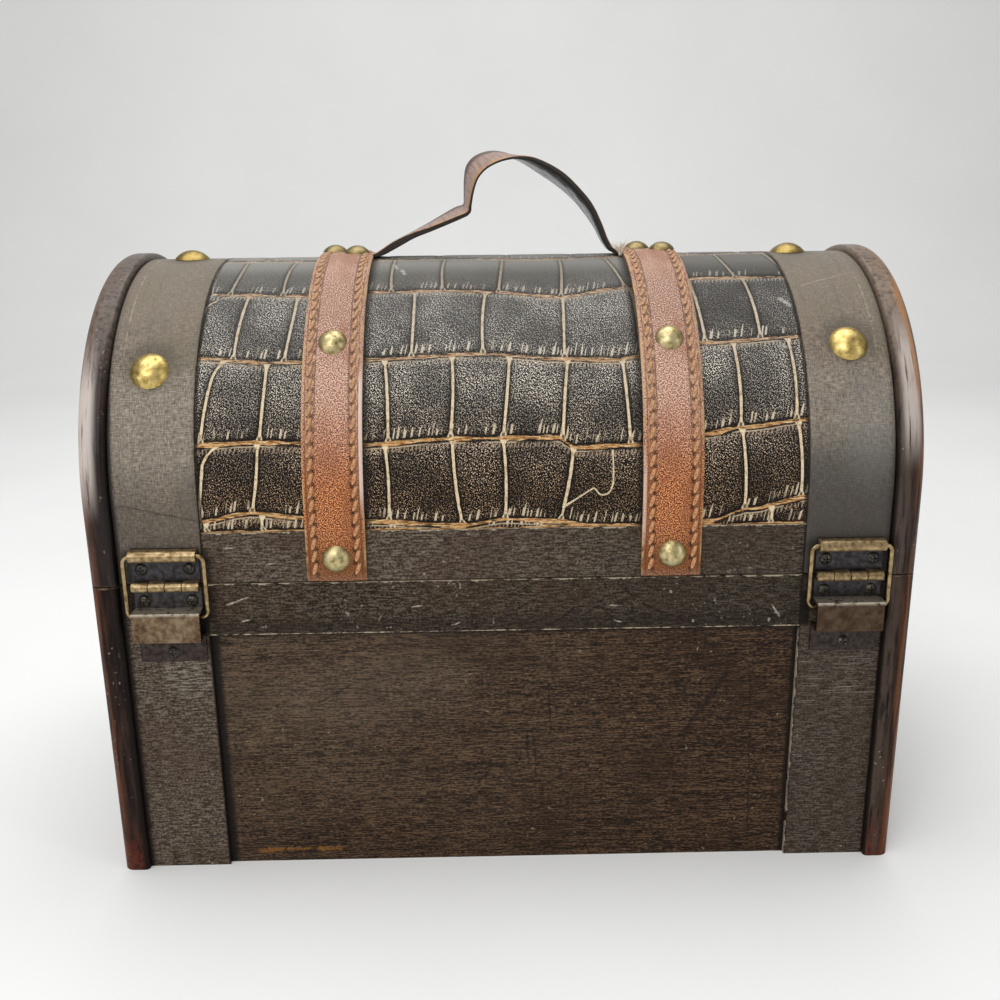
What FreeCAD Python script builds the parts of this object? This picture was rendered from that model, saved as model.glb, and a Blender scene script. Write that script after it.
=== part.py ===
"""Small barrel-top treasure chest: boarded base, arched lid on two stay hinges, top carry strap.

Millimetres.  Origin at the bottom centre, +Z up, +X along the width.
The hinge side (the back) faces -Y and the latch side (the front) faces +Y.
"""
import FreeCAD, Part
import math
import os

V = FreeCAD.Vector

# Chest body
chest_width = 300.0          # over both end boards
strip_depth = 162.0          # over the corner strips, back to front
parting_height = 117.8       # plane where the lid meets the base
parting_gap = 0.6            # saw cut between lid and base
end_board = 10.0             # thickness of the end boards
rim_proud = 2.5              # end boards stand this far past the strips
rim_outer_round = 4.0        # rounding of a rim's outer edge
rim_inner_round = 1.6        # rounding of a rim's inner edge
wall_board = 6.0             # front and back boards of the base
bottom_board = 5.0           # thickness of the bottom
strip_thickness = 2.0        # corner strips and base rails
strip_width = 31.0           # corner strips of the base, bands of the lid
base_rail_height = 20.2      # rail below the parting line
lid_rail_height = 18.9       # rail above the parting line

# Lid
spring_rise = 28.8           # straight lid wall above the parting line, below the arch
lid_wall = 4.0               # bent plywood of the lid
skin_thickness = 1.5         # bands, rails and leather over the plywood

# Straps and carry strap
strap_width = 21.5
strap_thickness = 2.0
strap_spacing = 121.2        # centre to centre of the two lid straps
strap_end_gap = 0.5          # strap end above the lid's lower edge
carry_width = 16.0
carry_thickness = 2.0
tongue_thickness = 1.2       # skived end of the carry strap, under a lid strap
tongue_length = 19.5
carry_lift = 1.2             # its centre line above the leather at its two ends
carry_fold = (-12.4, 19.2, 2.0)      # its bends: x, rise above the leather, radius of the bend
carry_crest = (-11.4, 42.5, 8.0)
carry_shoulder = (16.0, 34.5, 60.0)
carry_fall = (36.0, 21.9, 35.0)

# Studs
strap_stud_head = 10.4       # diameter of the small dome studs
strap_stud_dome = 2.9
band_stud_head = 14.0        # diameter of the large dome studs
band_stud_dome = 3.6
stud_shank = 2.0
stud_bite = 2.6              # depth of a stud's shank in the plywood
strap_stud_angle = 42.0      # up the arch from its spring line
band_stud_angle = 37.8
band_stud_stagger = 2.6      # degrees the right back band stud is above, and the left below, that angle
band_stud_shift = 1.1        # band studs sit this far outside the middle of their band
left_top_inset = 1.8         # the top band studs sit this far inside the others, on the left
right_top_inset = 7.6        # and on the right
strap_stud_low = 9.0         # lowest stud above the lid's lower edge
strap_stud_pair = 9.4        # spacing across of the two studs on top of each strap
strap_pair_shift = 0.8       # each pair sits this far outside the middle of its strap
strap_pair_turn = 2.0        # degrees off the crown: the left stud of a pair to the front, the right to the back

# Stay hinges
hinge_inset = 16.15          # hinge centre in from the end board's inner face
hinge_shift = 1.45           # both hinges sit this far to the right of even spacing
leaf_width = 24.4
leaf_thickness = 1.0
hinge_axis_out = 3.0         # pin axis outside the strip plane
knuckle_diameter = 3.6
pin_diameter = 1.6
knuckle_count = 4
knuckle_gap = 0.4
curl_rise = 11.7             # wire pivot above the pin
curl_wall = 1.25
loop_height = 23.3           # wire centre lines, top bar to bottom bar
loop_width = 28.9            # wire centre lines, leg to leg
loop_corner = 2.4            # bend radius of the wire's centre line
wire_diameter = 1.7
bridge_top = 8.6             # channel's upper edge below the pin
bridge_height = 11.3
bridge_out = 7.6             # channel's outer face past the strip plane
tab_height = 10.1            # screwed tab below the channel

# Hinge screws
screw_head = 4.7
screw_dome = 1.3
screw_shank = 2.2
screw_bite = 3.2             # depth of a hinge screw in the board behind
screw_spread = 17.2          # spacing of the two screws in a leaf
upper_screw_rise = 6.2       # above the pin
lower_screw_drop = 5.9       # below the pin
tab_screw_inset = 6.5        # tab screw below the channel
cross_slot_width = 0.6
cross_slot_length = 2.4
cross_slot_depth = 0.8

# Strip brads
brad_head = 1.8
brad_proud = 0.25
brad_shank = 1.0
brad_bite = 3.0
brad_rise = 13.0
brad_spread = 18.0

# Front hook latch
latch_plate_width = 18.0
latch_plate_height = 13.0
latch_plate_thickness = 1.0
latch_pivot_drop = 10.0      # pivot below the parting plane
latch_reach = 20.0           # pivot to the knob's neck
latch_neck = 3.0             # diameter of the knob's neck
latch_knob = 6.4             # diameter of the knob's head
latch_knob_height = 1.5
latch_rivet_shank = 3.0
latch_rivet_head = 5.4
latch_rivet_dome = 1.2
latch_collar = 5.6           # spacer under the hook
latch_collar_height = 1.3
hook_thickness = 1.5
hook_eye = 8.6
hook_arm = 5.0
hook_nose = 10.4
throat_sweep = 34.0          # degrees of the hook's throat, along its swing
latch_screw_spread = 12.6
latch_screw_head = 3.0
latch_screw_dome = 0.8
latch_screw_shank = 1.4
latch_screw_bite = 2.4

# Clearances
hole_clear = 0.05            # round shanks and pins in their holes
wire_clear = 0.10            # stay wire in its curl
throat_clear = 0.40          # knob's neck in the hook's throat
slide_clear = 0.15           # hook between its collar and rivet head
tongue_clear = 0.05          # carry strap's end in its pocket

# Places worked out from the sizes above
half_width = chest_width / 2
strip_plane = strip_depth / 2
panel_plane = strip_plane - strip_thickness
inner_x = half_width - end_board
strip_inner_x = inner_x - strip_width
base_top = parting_height - parting_gap / 2
lid_low = parting_height + parting_gap / 2
spring_z = parting_height + spring_rise
rim_radius = strip_plane + rim_proud
shell_radius = strip_plane - skin_thickness
leather_top = spring_z + strip_plane
strap_radius = strip_plane + strap_thickness
lid_rail_top = lid_low + lid_rail_height
strap_low = lid_low + strap_end_gap
wire_radius = wire_diameter / 2
knuckle_radius = knuckle_diameter / 2
pin_radius = pin_diameter / 2
curl_radius = wire_radius + wire_clear + curl_wall
curl_length = loop_width - 2 * loop_corner - 2 * hole_clear
bridge_low = bridge_top + bridge_height
tab_low = bridge_low + tab_height
latch_pivot_z = parting_height - latch_pivot_drop
knob_z = latch_pivot_z + latch_reach
latch_face = strip_plane + latch_plate_thickness
hook_back = latch_face + latch_collar_height + slide_clear
hook_front = hook_back + hook_thickness
overcut = 1.0                # how far a cutting tool runs past a face

nodes = {}


def box(x0, x1, y0, y1, z0, z1):
    """Block between two corners given as low and high along each axis."""
    return Part.makeBox(x1 - x0, y1 - y0, z1 - z0, V(x0, y0, z0))


def rod(start, direction, radius, length):
    return Part.makeCylinder(radius, length, start, direction)


def joined(shapes):
    """Fuse shapes into one solid with merged faces."""
    first = shapes[0]
    return first.fuse(shapes[1:]).removeSplitter() if len(shapes) > 1 else first


def cut_all(shape, tools):
    return shape.cut(tools) if tools else shape


def arch_prism(radius, low, x0, x1):
    """Lid section: upright sides from low, closed by a half circle, run along X."""
    left_foot = V(x0, -radius, low)
    left_spring = V(x0, -radius, spring_z)
    crown = V(x0, 0, spring_z + radius)
    right_spring = V(x0, radius, spring_z)
    right_foot = V(x0, radius, low)
    outline = Part.Wire([
        Part.LineSegment(left_foot, left_spring).toShape(),
        Part.Arc(left_spring, crown, right_spring).toShape(),
        Part.LineSegment(right_spring, right_foot).toShape(),
        Part.LineSegment(right_foot, left_foot).toShape(),
    ])
    return Part.Face(outline).extrude(V(x1 - x0, 0, 0))


def arch_shell(outer, thickness, low, x0, x1):
    """Bent sheet over the lid: the arch section less its own inside, open at the bottom."""
    inside = arch_prism(outer - thickness, low - overcut, x0 - overcut, x1 + overcut)
    return arch_prism(outer, low, x0, x1).cut(inside)


def turned(profile, place, direction):
    """Solid of revolution from (radius, height) edges, stood at place along direction."""
    edges = []
    for piece in profile:
        points = [V(r, 0, h) for r, h in piece]
        curve = Part.Arc(*points) if len(points) == 3 else Part.LineSegment(*points)
        edges.append(curve.toShape())
    solid = Part.Face(Part.Wire(edges)).revolve(V(0, 0, 0), V(0, 0, 1), 360)
    solid.Placement = FreeCAD.Placement(place, FreeCAD.Rotation(V(0, 0, 1), direction))
    return Part.Solid(solid) if solid.ShapeType == "Shell" else solid


def domed_pin(head, dome, shank, length, place, direction):
    """Dome-headed nail or screw blank: the head stands on place, the shank runs back from it."""
    head_r = head / 2
    shank_r = shank / 2
    sphere = (head_r ** 2 + dome ** 2) / (2 * dome)
    half_angle = math.asin(min(1.0, head_r / sphere)) / 2
    mid = (sphere * math.sin(half_angle), dome - sphere * (1 - math.cos(half_angle)))
    profile = [
        [(0, -length), (shank_r, -length)],
        [(shank_r, -length), (shank_r, 0)],
        [(shank_r, 0), (head_r, 0)],
        [(head_r, 0), mid, (0, dome)],
        [(0, dome), (0, -length)],
    ]
    return turned(profile, place, direction)


def shank_hole(shank, length, place, direction):
    """Hole for a shank that starts at place, with a little room round it and past its tip."""
    depth = length + hole_clear
    start = place + direction * overcut
    return rod(start, direction * -1, shank / 2 + hole_clear, depth + overcut)


def cross_screw(place, direction, length):
    """Pan-head screw with a cross recess."""
    screw = domed_pin(screw_head, screw_dome, screw_shank, length, place, direction)
    long_half = cross_slot_length / 2
    thin_half = cross_slot_width / 2
    floor = screw_dome - cross_slot_depth
    bars = [
        box(-long_half, long_half, -thin_half, thin_half, floor, screw_dome + overcut),
        box(-thin_half, thin_half, -long_half, long_half, floor, screw_dome + overcut),
    ]
    for bar in bars:
        bar.Placement = FreeCAD.Placement(place, FreeCAD.Rotation(V(0, 0, 1), direction))
    return screw.cut(bars)


def on_arch(x, radius, degrees):
    """Point and outward normal on the lid's arch, degrees up from the back spring line."""
    angle = math.radians(degrees)
    normal = V(0, -math.cos(angle), math.sin(angle))
    return V(x, radius * normal.y, spring_z + radius * normal.z), normal


# Fasteners of the lid: place, direction and shank length of each stud
back_out = V(0, -1, 0)
front_out = V(0, 1, 0)
strap_stud_length = strap_thickness + skin_thickness + stud_bite
band_stud_length = skin_thickness + stud_bite
strap_centres = {"left": -strap_spacing / 2, "right": strap_spacing / 2}
band_centre = (inner_x + strip_inner_x) / 2
band_centres = {"left": -band_centre, "right": band_centre}
band_stud_x = band_centre + band_stud_shift
band_stud_places = {"left": -band_stud_x, "right": band_stud_x}
top_stud_places = {"left": left_top_inset - band_stud_x, "right": band_stud_x - right_top_inset}
back_band_angles = {"left": band_stud_angle - band_stud_stagger, "right": band_stud_angle + band_stud_stagger}
stud_low_z = lid_low + strap_stud_low


def strap_stud_seats(side):
    """Six seats along one strap, from the back's lower end over the top to the front's."""
    x = strap_centres[side]
    pair_x = x + math.copysign(strap_pair_shift, x)
    return {
        "back_low": (V(x, -strap_radius, stud_low_z), back_out),
        "back_high": on_arch(x, strap_radius, strap_stud_angle),
        "top_outer": on_arch(pair_x - strap_stud_pair / 2, strap_radius, 90 + strap_pair_turn),
        "top_inner": on_arch(pair_x + strap_stud_pair / 2, strap_radius, 90 - strap_pair_turn),
        "front_high": on_arch(x, strap_radius, 180 - strap_stud_angle),
        "front_low": (V(x, strap_radius, stud_low_z), front_out),
    }


def band_stud_seats(side):
    x = band_stud_places[side]
    return {
        "back": on_arch(x, strip_plane, back_band_angles[side]),
        "top": on_arch(top_stud_places[side], strip_plane, 90),
        "front": on_arch(x, strip_plane, 180 - band_stud_angle),
    }


lid_stud_holes = []
for side in ("left", "right"):
    for name, (place, normal) in strap_stud_seats(side).items():
        stud = domed_pin(strap_stud_head, strap_stud_dome, stud_shank, strap_stud_length, place, normal)
        nodes[f"{side}_strap_stud_{name}"] = stud
        lid_stud_holes.append(shank_hole(stud_shank, strap_stud_length, place, normal))
    for name, (place, normal) in band_stud_seats(side).items():
        stud = domed_pin(band_stud_head, band_stud_dome, stud_shank, band_stud_length, place, normal)
        nodes[f"{side}_band_stud_{name}"] = stud
        lid_stud_holes.append(shank_hole(stud_shank, band_stud_length, place, normal))

# Hinge screws, in each hinge's own sides
hinge_spread = inner_x - hinge_inset
hinge_centres = {"left": hinge_shift - hinge_spread, "right": hinge_shift + hinge_spread}
upper_screw_length = leaf_thickness + skin_thickness + screw_bite
lower_screw_length = leaf_thickness + strip_thickness + screw_bite
tab_screw_drop = bridge_low + tab_screw_inset


def hinge_point(side, across, out, up):
    """Place on a hinge: across from its centre, out from the strip plane, up from the pin."""
    return V(hinge_centres[side] + across, -(strip_plane + out), parting_height + up)


def hinge_block(side, across, out, up):
    """Block on a hinge from low and high pairs in the same terms as hinge_point."""
    low = hinge_point(side, across[0], out[1], up[0])
    high = hinge_point(side, across[1], out[0], up[1])
    return box(low.x, high.x, low.y, high.y, low.z, high.z)


lid_screw_holes = []
base_screw_holes = []
leaf_screw_holes = {}
for side in ("left", "right"):
    half = screw_spread / 2
    upper = [hinge_point(side, a, leaf_thickness, upper_screw_rise) for a in (-half, half)]
    lower = [hinge_point(side, a, leaf_thickness, -lower_screw_drop) for a in (-half, half)]
    lower.append(hinge_point(side, 0, leaf_thickness, -tab_screw_drop))
    nodes[f"{side}_hinge_upper_screws"] = Part.makeCompound(
        [cross_screw(p, back_out, upper_screw_length) for p in upper])
    nodes[f"{side}_hinge_lower_screws"] = Part.makeCompound(
        [cross_screw(p, back_out, lower_screw_length) for p in lower])
    upper_holes = [shank_hole(screw_shank, upper_screw_length, p, back_out) for p in upper]
    lower_holes = [shank_hole(screw_shank, lower_screw_length, p, back_out) for p in lower]
    lid_screw_holes += upper_holes
    base_screw_holes += lower_holes
    leaf_screw_holes[side] = upper_holes + lower_holes

# Brads through the feet of the corner strips
brad_length = strip_thickness + brad_bite
brads = []
brad_holes = []
for sign, facing in ((-1, back_out), (1, front_out)):
    for centre in band_centres.values():
        for offset in (-brad_spread / 2, brad_spread / 2):
            seat = V(centre + offset, sign * strip_plane, brad_rise)
            brads.append(domed_pin(brad_head, brad_proud, brad_shank, brad_length, seat, facing))
            brad_holes.append(shank_hole(brad_shank, brad_length, seat, facing))
nodes["strip_brads"] = Part.makeCompound(brads)

# Front latch fasteners
latch_screw_length = latch_plate_thickness + strip_thickness + latch_screw_bite
keeper_screw_length = latch_plate_thickness + skin_thickness + latch_screw_bite


def latch_fixings(z, length):
    """Two plate screws and their holes, beside a point at height z on the front."""
    seats = [V(a, latch_face, z) for a in (-latch_screw_spread / 2, latch_screw_spread / 2)]
    screws = [
        domed_pin(latch_screw_head, latch_screw_dome, latch_screw_shank, length, s, front_out)
        for s in seats
    ]
    holes = [shank_hole(latch_screw_shank, length, s, front_out) for s in seats]
    return Part.makeCompound(screws), holes


nodes["latch_plate_screws"], latch_holes = latch_fixings(latch_pivot_z, latch_screw_length)
nodes["keeper_screws"], keeper_holes = latch_fixings(knob_z, keeper_screw_length)
rivet_length = latch_screw_length
rivet_seat = V(0, latch_face, latch_pivot_z)
knob_seat = V(0, latch_face, knob_z)
rivet_hole = shank_hole(latch_rivet_shank, rivet_length, rivet_seat, front_out)
knob_hole = shank_hole(latch_neck, keeper_screw_length, knob_seat, front_out)
base_front_holes = latch_holes + [rivet_hole]
lid_front_holes = keeper_holes + [knob_hole]


# Base boards
def rounded_rim(board, outer_x, edge_x):
    """Round a rim's outline: the large round on the outer face, the small one on the inner face."""
    for x, radius in ((outer_x, rim_outer_round), (edge_x, rim_inner_round)):
        picked = []
        for edge in board.Edges:
            limits = edge.BoundBox
            on_face = abs(limits.XMin - x) < 1e-6 and abs(limits.XMax - x) < 1e-6
            flat_foot = limits.ZLength < 1e-6
            if on_face and not flat_foot:
                picked.append(edge)
        board = board.makeFillet(radius, picked)
    return board


for side, sign in (("left", -1), ("right", 1)):
    x0, x1 = sorted((sign * inner_x, sign * half_width))
    base_end = box(x0, x1, -rim_radius, rim_radius, 0, base_top)
    lid_end = arch_prism(rim_radius, lid_low, x0, x1)
    outer_x = sign * half_width
    nodes[f"base_{side}_end_board"] = rounded_rim(base_end, outer_x, sign * inner_x)
    nodes[f"lid_{side}_end_board"] = rounded_rim(lid_end, outer_x, sign * inner_x)

board_back = panel_plane - wall_board
back_board = box(-inner_x, inner_x, -panel_plane, -board_back, 0, base_top)
front_board = box(-inner_x, inner_x, board_back, panel_plane, 0, base_top)
nodes["base_back_board"] = cut_all(back_board, base_screw_holes + brad_holes)
nodes["base_front_board"] = cut_all(front_board, base_front_holes + brad_holes)
nodes["base_bottom_board"] = box(-inner_x, inner_x, -board_back, board_back, 0, bottom_board)

rail_low = base_top - base_rail_height
for face, sign in (("back", -1), ("front", 1)):
    y0, y1 = sorted((sign * panel_plane, sign * strip_plane))
    for side, end in (("left", -1), ("right", 1)):
        x0, x1 = sorted((end * strip_inner_x, end * inner_x))
        strip = box(x0, x1, y0, y1, 0, base_top)
        nodes[f"base_{face}_{side}_strip"] = cut_all(strip, base_screw_holes + brad_holes)
    rail = box(-strip_inner_x, strip_inner_x, y0, y1, rail_low, base_top)
    nodes[f"base_{face}_rail"] = cut_all(rail, base_front_holes)

# Lid boards and skins
lid_holes = lid_stud_holes + lid_screw_holes + lid_front_holes
plywood = arch_shell(shell_radius, lid_wall, lid_low, -inner_x, inner_x)
nodes["lid_shell"] = cut_all(plywood, lid_holes)
for side, end in (("left", -1), ("right", 1)):
    x0, x1 = sorted((end * strip_inner_x, end * inner_x))
    band = arch_shell(strip_plane, skin_thickness, lid_low, x0, x1)
    nodes[f"lid_{side}_band"] = cut_all(band, lid_holes)
leather = arch_shell(strip_plane, skin_thickness, lid_rail_top, -strip_inner_x, strip_inner_x)
nodes["lid_leather_panel"] = cut_all(leather, lid_holes)
for face, sign in (("back", -1), ("front", 1)):
    y0, y1 = sorted((sign * shell_radius, sign * strip_plane))
    rail = box(-strip_inner_x, strip_inner_x, y0, y1, lid_low, lid_rail_top)
    nodes[f"lid_{face}_rail"] = cut_all(rail, lid_holes)


# Carry strap: a folded ribbon whose skived ends lie in pockets under the lid straps
def ribbon(points, radii, thickness, width):
    """Strap lying along a bent line in the XZ plane, its bends rounded, centred on Y."""
    def side_points(offset):
        """Straight runs and bends of the line moved sideways by offset."""
        runs = []
        for k in range(len(points) - 1):
            run = (points[k + 1] - points[k]).normalize()
            runs.append((run, V(-run.z, 0, run.x)))
        pieces = []
        start = points[0] + runs[0][1] * offset
        for k in range(1, len(points) - 1):
            before, out_before = runs[k - 1]
            after, out_after = runs[k]
            turn = before.getAngle(after)
            tangent = radii[k - 1] * math.tan(turn / 2)
            bend_in = points[k] - before * tangent
            bend_out = points[k] + after * tangent
            left_turn = before.x * after.z - before.z * after.x > 0
            inward = out_before if left_turn else out_before * -1
            centre = bend_in + inward * radii[k - 1]
            reach = radii[k - 1] - offset if left_turn else radii[k - 1] + offset
            middle = centre + (points[k] - centre).normalize() * reach
            pieces.append([start, bend_in + out_before * offset])
            pieces.append([pieces[-1][1], middle, bend_out + out_after * offset])
            start = pieces[-1][2]
        pieces.append([start, points[-1] + runs[-1][1] * offset])
        return pieces

    upper = side_points(thickness / 2)
    lower = side_points(-thickness / 2)
    outline = upper + [[upper[-1][-1], lower[-1][-1]]] + lower + [[lower[0][0], upper[0][0]]]
    edges = []
    for piece in outline:
        curve = Part.Arc(*piece) if len(piece) == 3 else Part.LineSegment(*piece)
        edges.append(curve.toShape())
    face = Part.Face(Part.Wire(Part.__sortEdges__(edges)))
    face.translate(V(0, -width / 2, 0))
    return face.extrude(V(0, width, 0))


strap_inner_x = strap_spacing / 2 - strap_width / 2
carry_bends = (carry_fold, carry_crest, carry_shoulder, carry_fall)
carry_points = [V(-strap_inner_x, 0, leather_top + carry_lift)]
carry_points += [V(x, 0, leather_top + rise) for x, rise, radius in carry_bends]
carry_points.append(V(strap_inner_x, 0, leather_top + carry_lift))
carry_body = ribbon(carry_points, [bend[2] for bend in carry_bends], carry_thickness, carry_width)
under_straps = arch_prism(strip_plane + tongue_clear, lid_low, -inner_x, inner_x)
carry_end_x = strap_inner_x - tongue_clear
carry_room = box(-carry_end_x, carry_end_x, -carry_width, carry_width, lid_low, leather_top + chest_width)
carry_body = carry_body.cut(under_straps).common(carry_room)


def carry_tongue(sign, clear, length):
    """Skived end under a lid strap, and with a clearance its pocket."""
    near, far = sorted((sign * (strap_inner_x - carry_thickness), sign * (strap_inner_x + length + clear)))
    reach = carry_width / 2 + clear
    low = strip_plane + tongue_clear - clear
    thick = tongue_thickness + 2 * clear
    sheet = arch_shell(low + thick, thick, lid_low, near, far)
    return sheet.common(box(near, far, -reach, reach, spring_z, leather_top + strap_thickness))


tongues = [carry_tongue(sign, 0, tongue_length) for sign in (-1, 1)]
nodes["carry_strap"] = cut_all(joined([carry_body] + tongues), lid_stud_holes)

for side, x in strap_centres.items():
    strap = arch_shell(strap_radius, strap_thickness, strap_low, x - strap_width / 2, x + strap_width / 2)
    pocket = carry_tongue(-1 if side == "left" else 1, tongue_clear, tongue_length)
    nodes[f"lid_{side}_strap"] = cut_all(strap, lid_stud_holes + [pocket])


# Stay hinges
def knuckle_spans():
    """Low and high across the leaf of each knuckle, in order."""
    pitch = leaf_width / knuckle_count
    first = -leaf_width / 2
    return [
        (first + k * pitch + knuckle_gap / 2, first + (k + 1) * pitch - knuckle_gap / 2)
        for k in range(knuckle_count)
    ]


def knuckle_set(side, start, up):
    """Every second knuckle from start, each rolled from a web that leaves the leaf; up is +1 or -1."""
    webs = []
    inner, outer = sorted((up * (knuckle_radius - leaf_thickness), up * knuckle_radius))
    for low, high in knuckle_spans()[start::2]:
        barrel = rod(hinge_point(side, low, hinge_axis_out, 0), V(1, 0, 0), knuckle_radius, high - low)
        webs += [barrel, hinge_block(side, (low, high), (0, hinge_axis_out), (inner, outer))]
    return webs


x_axis = V(1, 0, 0)
leaf_half = leaf_width / 2
for side in ("left", "right"):
    pin_start = hinge_point(side, -leaf_half, hinge_axis_out, 0)
    nodes[f"{side}_hinge_pin"] = rod(pin_start, x_axis, pin_radius, leaf_width)
    pin_hole = rod(pin_start - x_axis * overcut, x_axis, pin_radius + hole_clear, leaf_width + 2 * overcut)

    # Lower leaf: flat leaf, channel bent out over the stay wire, screwed tab
    across = (-leaf_half, leaf_half)
    lower = knuckle_set(side, 0, -1)
    lower += [
        hinge_block(side, across, (0, leaf_thickness), (-bridge_top, leaf_thickness - knuckle_radius)),
        hinge_block(side, across, (0, bridge_out), (-bridge_top - leaf_thickness, -bridge_top)),
        hinge_block(side, across, (bridge_out - leaf_thickness, bridge_out), (-bridge_low, -bridge_top)),
        hinge_block(side, across, (0, bridge_out), (-bridge_low, leaf_thickness - bridge_low)),
        hinge_block(side, across, (0, leaf_thickness), (-tab_low, leaf_thickness - bridge_low)),
    ]
    nodes[f"{side}_hinge_lower_leaf"] = joined(lower).cut([pin_hole] + leaf_screw_holes[side])

    # Upper leaf: flat leaf with a curl rolled over the stay wire's top bar
    curl_half = curl_length / 2
    curl_span = (-curl_half, curl_half)
    curl_start = hinge_point(side, -curl_half, hinge_axis_out, curl_rise)
    curl_top = curl_rise + curl_radius
    wire_hole = rod(curl_start - x_axis * overcut, x_axis, wire_radius + wire_clear, curl_length + 2 * overcut)
    upper = knuckle_set(side, 1, 1)
    upper += [
        hinge_block(side, across, (0, leaf_thickness), (knuckle_radius - leaf_thickness, curl_rise)),
        hinge_block(side, curl_span, (0, leaf_thickness), (curl_rise, curl_top)),
        hinge_block(side, curl_span, (0, hinge_axis_out), (curl_top - curl_wall, curl_top)),
        rod(curl_start, x_axis, curl_radius, curl_length),
    ]
    nodes[f"{side}_hinge_upper_leaf"] = joined(upper).cut([pin_hole, wire_hole] + leaf_screw_holes[side])

    # Stay wire: a closed loop with rounded corners
    leg = loop_width / 2
    bar_top = curl_rise
    bar_low = curl_rise - loop_height
    corners = [(leg, bar_top), (leg, bar_low), (-leg, bar_low), (-leg, bar_top)]
    wire_edges = []
    bend = loop_corner * (1 - math.sqrt(0.5))
    previous = V(0, 0, bar_top)
    for across_corner, up_corner in corners:
        toward_x = -math.copysign(1, across_corner)
        toward_z = -1 if up_corner == bar_top else 1
        upright = V(across_corner, 0, up_corner + toward_z * loop_corner)
        level = V(across_corner + toward_x * loop_corner, 0, up_corner)
        mid = V(across_corner + toward_x * bend, 0, up_corner + toward_z * bend)
        enter, leave = (level, upright) if abs(previous.z - up_corner) < 1e-6 else (upright, level)
        wire_edges.append(Part.LineSegment(previous, enter).toShape())
        wire_edges.append(Part.Arc(enter, mid, leave).toShape())
        previous = leave
    wire_edges.append(Part.LineSegment(previous, V(0, 0, bar_top)).toShape())
    section = Part.Wire(Part.Circle(V(0, 0, bar_top), x_axis, wire_radius).toShape())
    loop = Part.Wire(wire_edges).makePipeShell([section], True, False)
    loop.translate(hinge_point(side, 0, hinge_axis_out, 0))
    nodes[f"{side}_stay_loop"] = loop

# Front latch: plate and rivet on the base, swinging hook, keeper knob on the lid
half_plate = latch_plate_width / 2
half_plate_height = latch_plate_height / 2


def latch_plate(z, holes):
    low = z - half_plate_height
    plate = box(-half_plate, half_plate, strip_plane, latch_face, low, low + latch_plate_height)
    return plate.cut(holes)


nodes["latch_plate"] = latch_plate(latch_pivot_z, base_front_holes)
nodes["keeper_plate"] = latch_plate(knob_z, lid_front_holes)
rivet_body = rod(rivet_seat - front_out * rivet_length, front_out, latch_rivet_shank / 2,
                 rivet_length + hook_front + slide_clear - latch_face)
collar = rod(rivet_seat, front_out, latch_collar / 2, latch_collar_height)
rivet_top = V(0, hook_front + slide_clear, latch_pivot_z)
rivet_cap = domed_pin(latch_rivet_head, latch_rivet_dome, latch_rivet_shank, hook_thickness, rivet_top, front_out)
nodes["latch_rivet"] = joined([rivet_body, collar, rivet_cap])
knob_under = hook_front + throat_clear
neck = rod(knob_seat - front_out * keeper_screw_length, front_out, latch_neck / 2,
           keeper_screw_length + knob_under - latch_face)
knob_top = V(0, knob_under, knob_z)
knob_cap = domed_pin(latch_knob, latch_knob_height, latch_neck, hook_thickness, knob_top, front_out)
nodes["keeper_knob"] = joined([neck, knob_cap])

# Hook, hanging from its rivet: its throat opens on the side that leads when it swings up
pivot = V(0, hook_back, latch_pivot_z)
nose = V(0, hook_back, latch_pivot_z - latch_reach)
throat = latch_neck / 2 + throat_clear
throat_ring = rod(pivot - front_out * overcut, front_out, latch_reach + throat, hook_thickness + 2 * overcut)
throat_ring = throat_ring.cut(
    rod(pivot - front_out * overcut, front_out, latch_reach - throat, hook_thickness + 2 * overcut))
swept = Part.Face(Part.Wire(Part.makePolygon([
    pivot - front_out * overcut,
    pivot + V(0, -overcut, -2 * latch_reach),
    pivot + V(-2 * latch_reach * math.tan(math.radians(throat_sweep)), -overcut, -2 * latch_reach),
    pivot - front_out * overcut,
]))).extrude(front_out * (hook_thickness + 2 * overcut))
hook = joined([
    rod(pivot, front_out, hook_eye / 2, hook_thickness),
    rod(nose, front_out, hook_nose / 2, hook_thickness),
    box(-hook_arm / 2, hook_arm / 2, hook_back, hook_front, nose.z, pivot.z),
])
nodes["latch_hook"] = hook.cut([
    rod(pivot - front_out * overcut, front_out, latch_rivet_shank / 2 + hole_clear, hook_thickness + 2 * overcut),
    rod(nose - front_out * overcut, front_out, throat, hook_thickness + 2 * overcut),
    throat_ring.common(swept),
])

os.makedirs("parts", exist_ok=True)
for name, shape in nodes.items():
    shape.exportStep(f"parts/{name}.step")
    solids = shape.Solids
    volume = sum(solid.Volume for solid in solids) / 1000
    print(f"{name}: {len(solids)} solid(s), {volume:.2f} cm3, valid {shape.isValid()}")
print(len(nodes), "nodes")
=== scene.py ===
"""Looks of the barrel-top chest: embossed leather, stitched straps, linen bands, stained wood, brass.

Metres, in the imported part's own frame: the hinge side faces -Y, +X is to the right, +Z is up.
Places and surface maps in materials are in millimetres, so that the sizes there are real ones.
"""

from fnmatch import fnmatch
import math
import random

import bpy
from mathutils import Matrix, Vector


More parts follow.
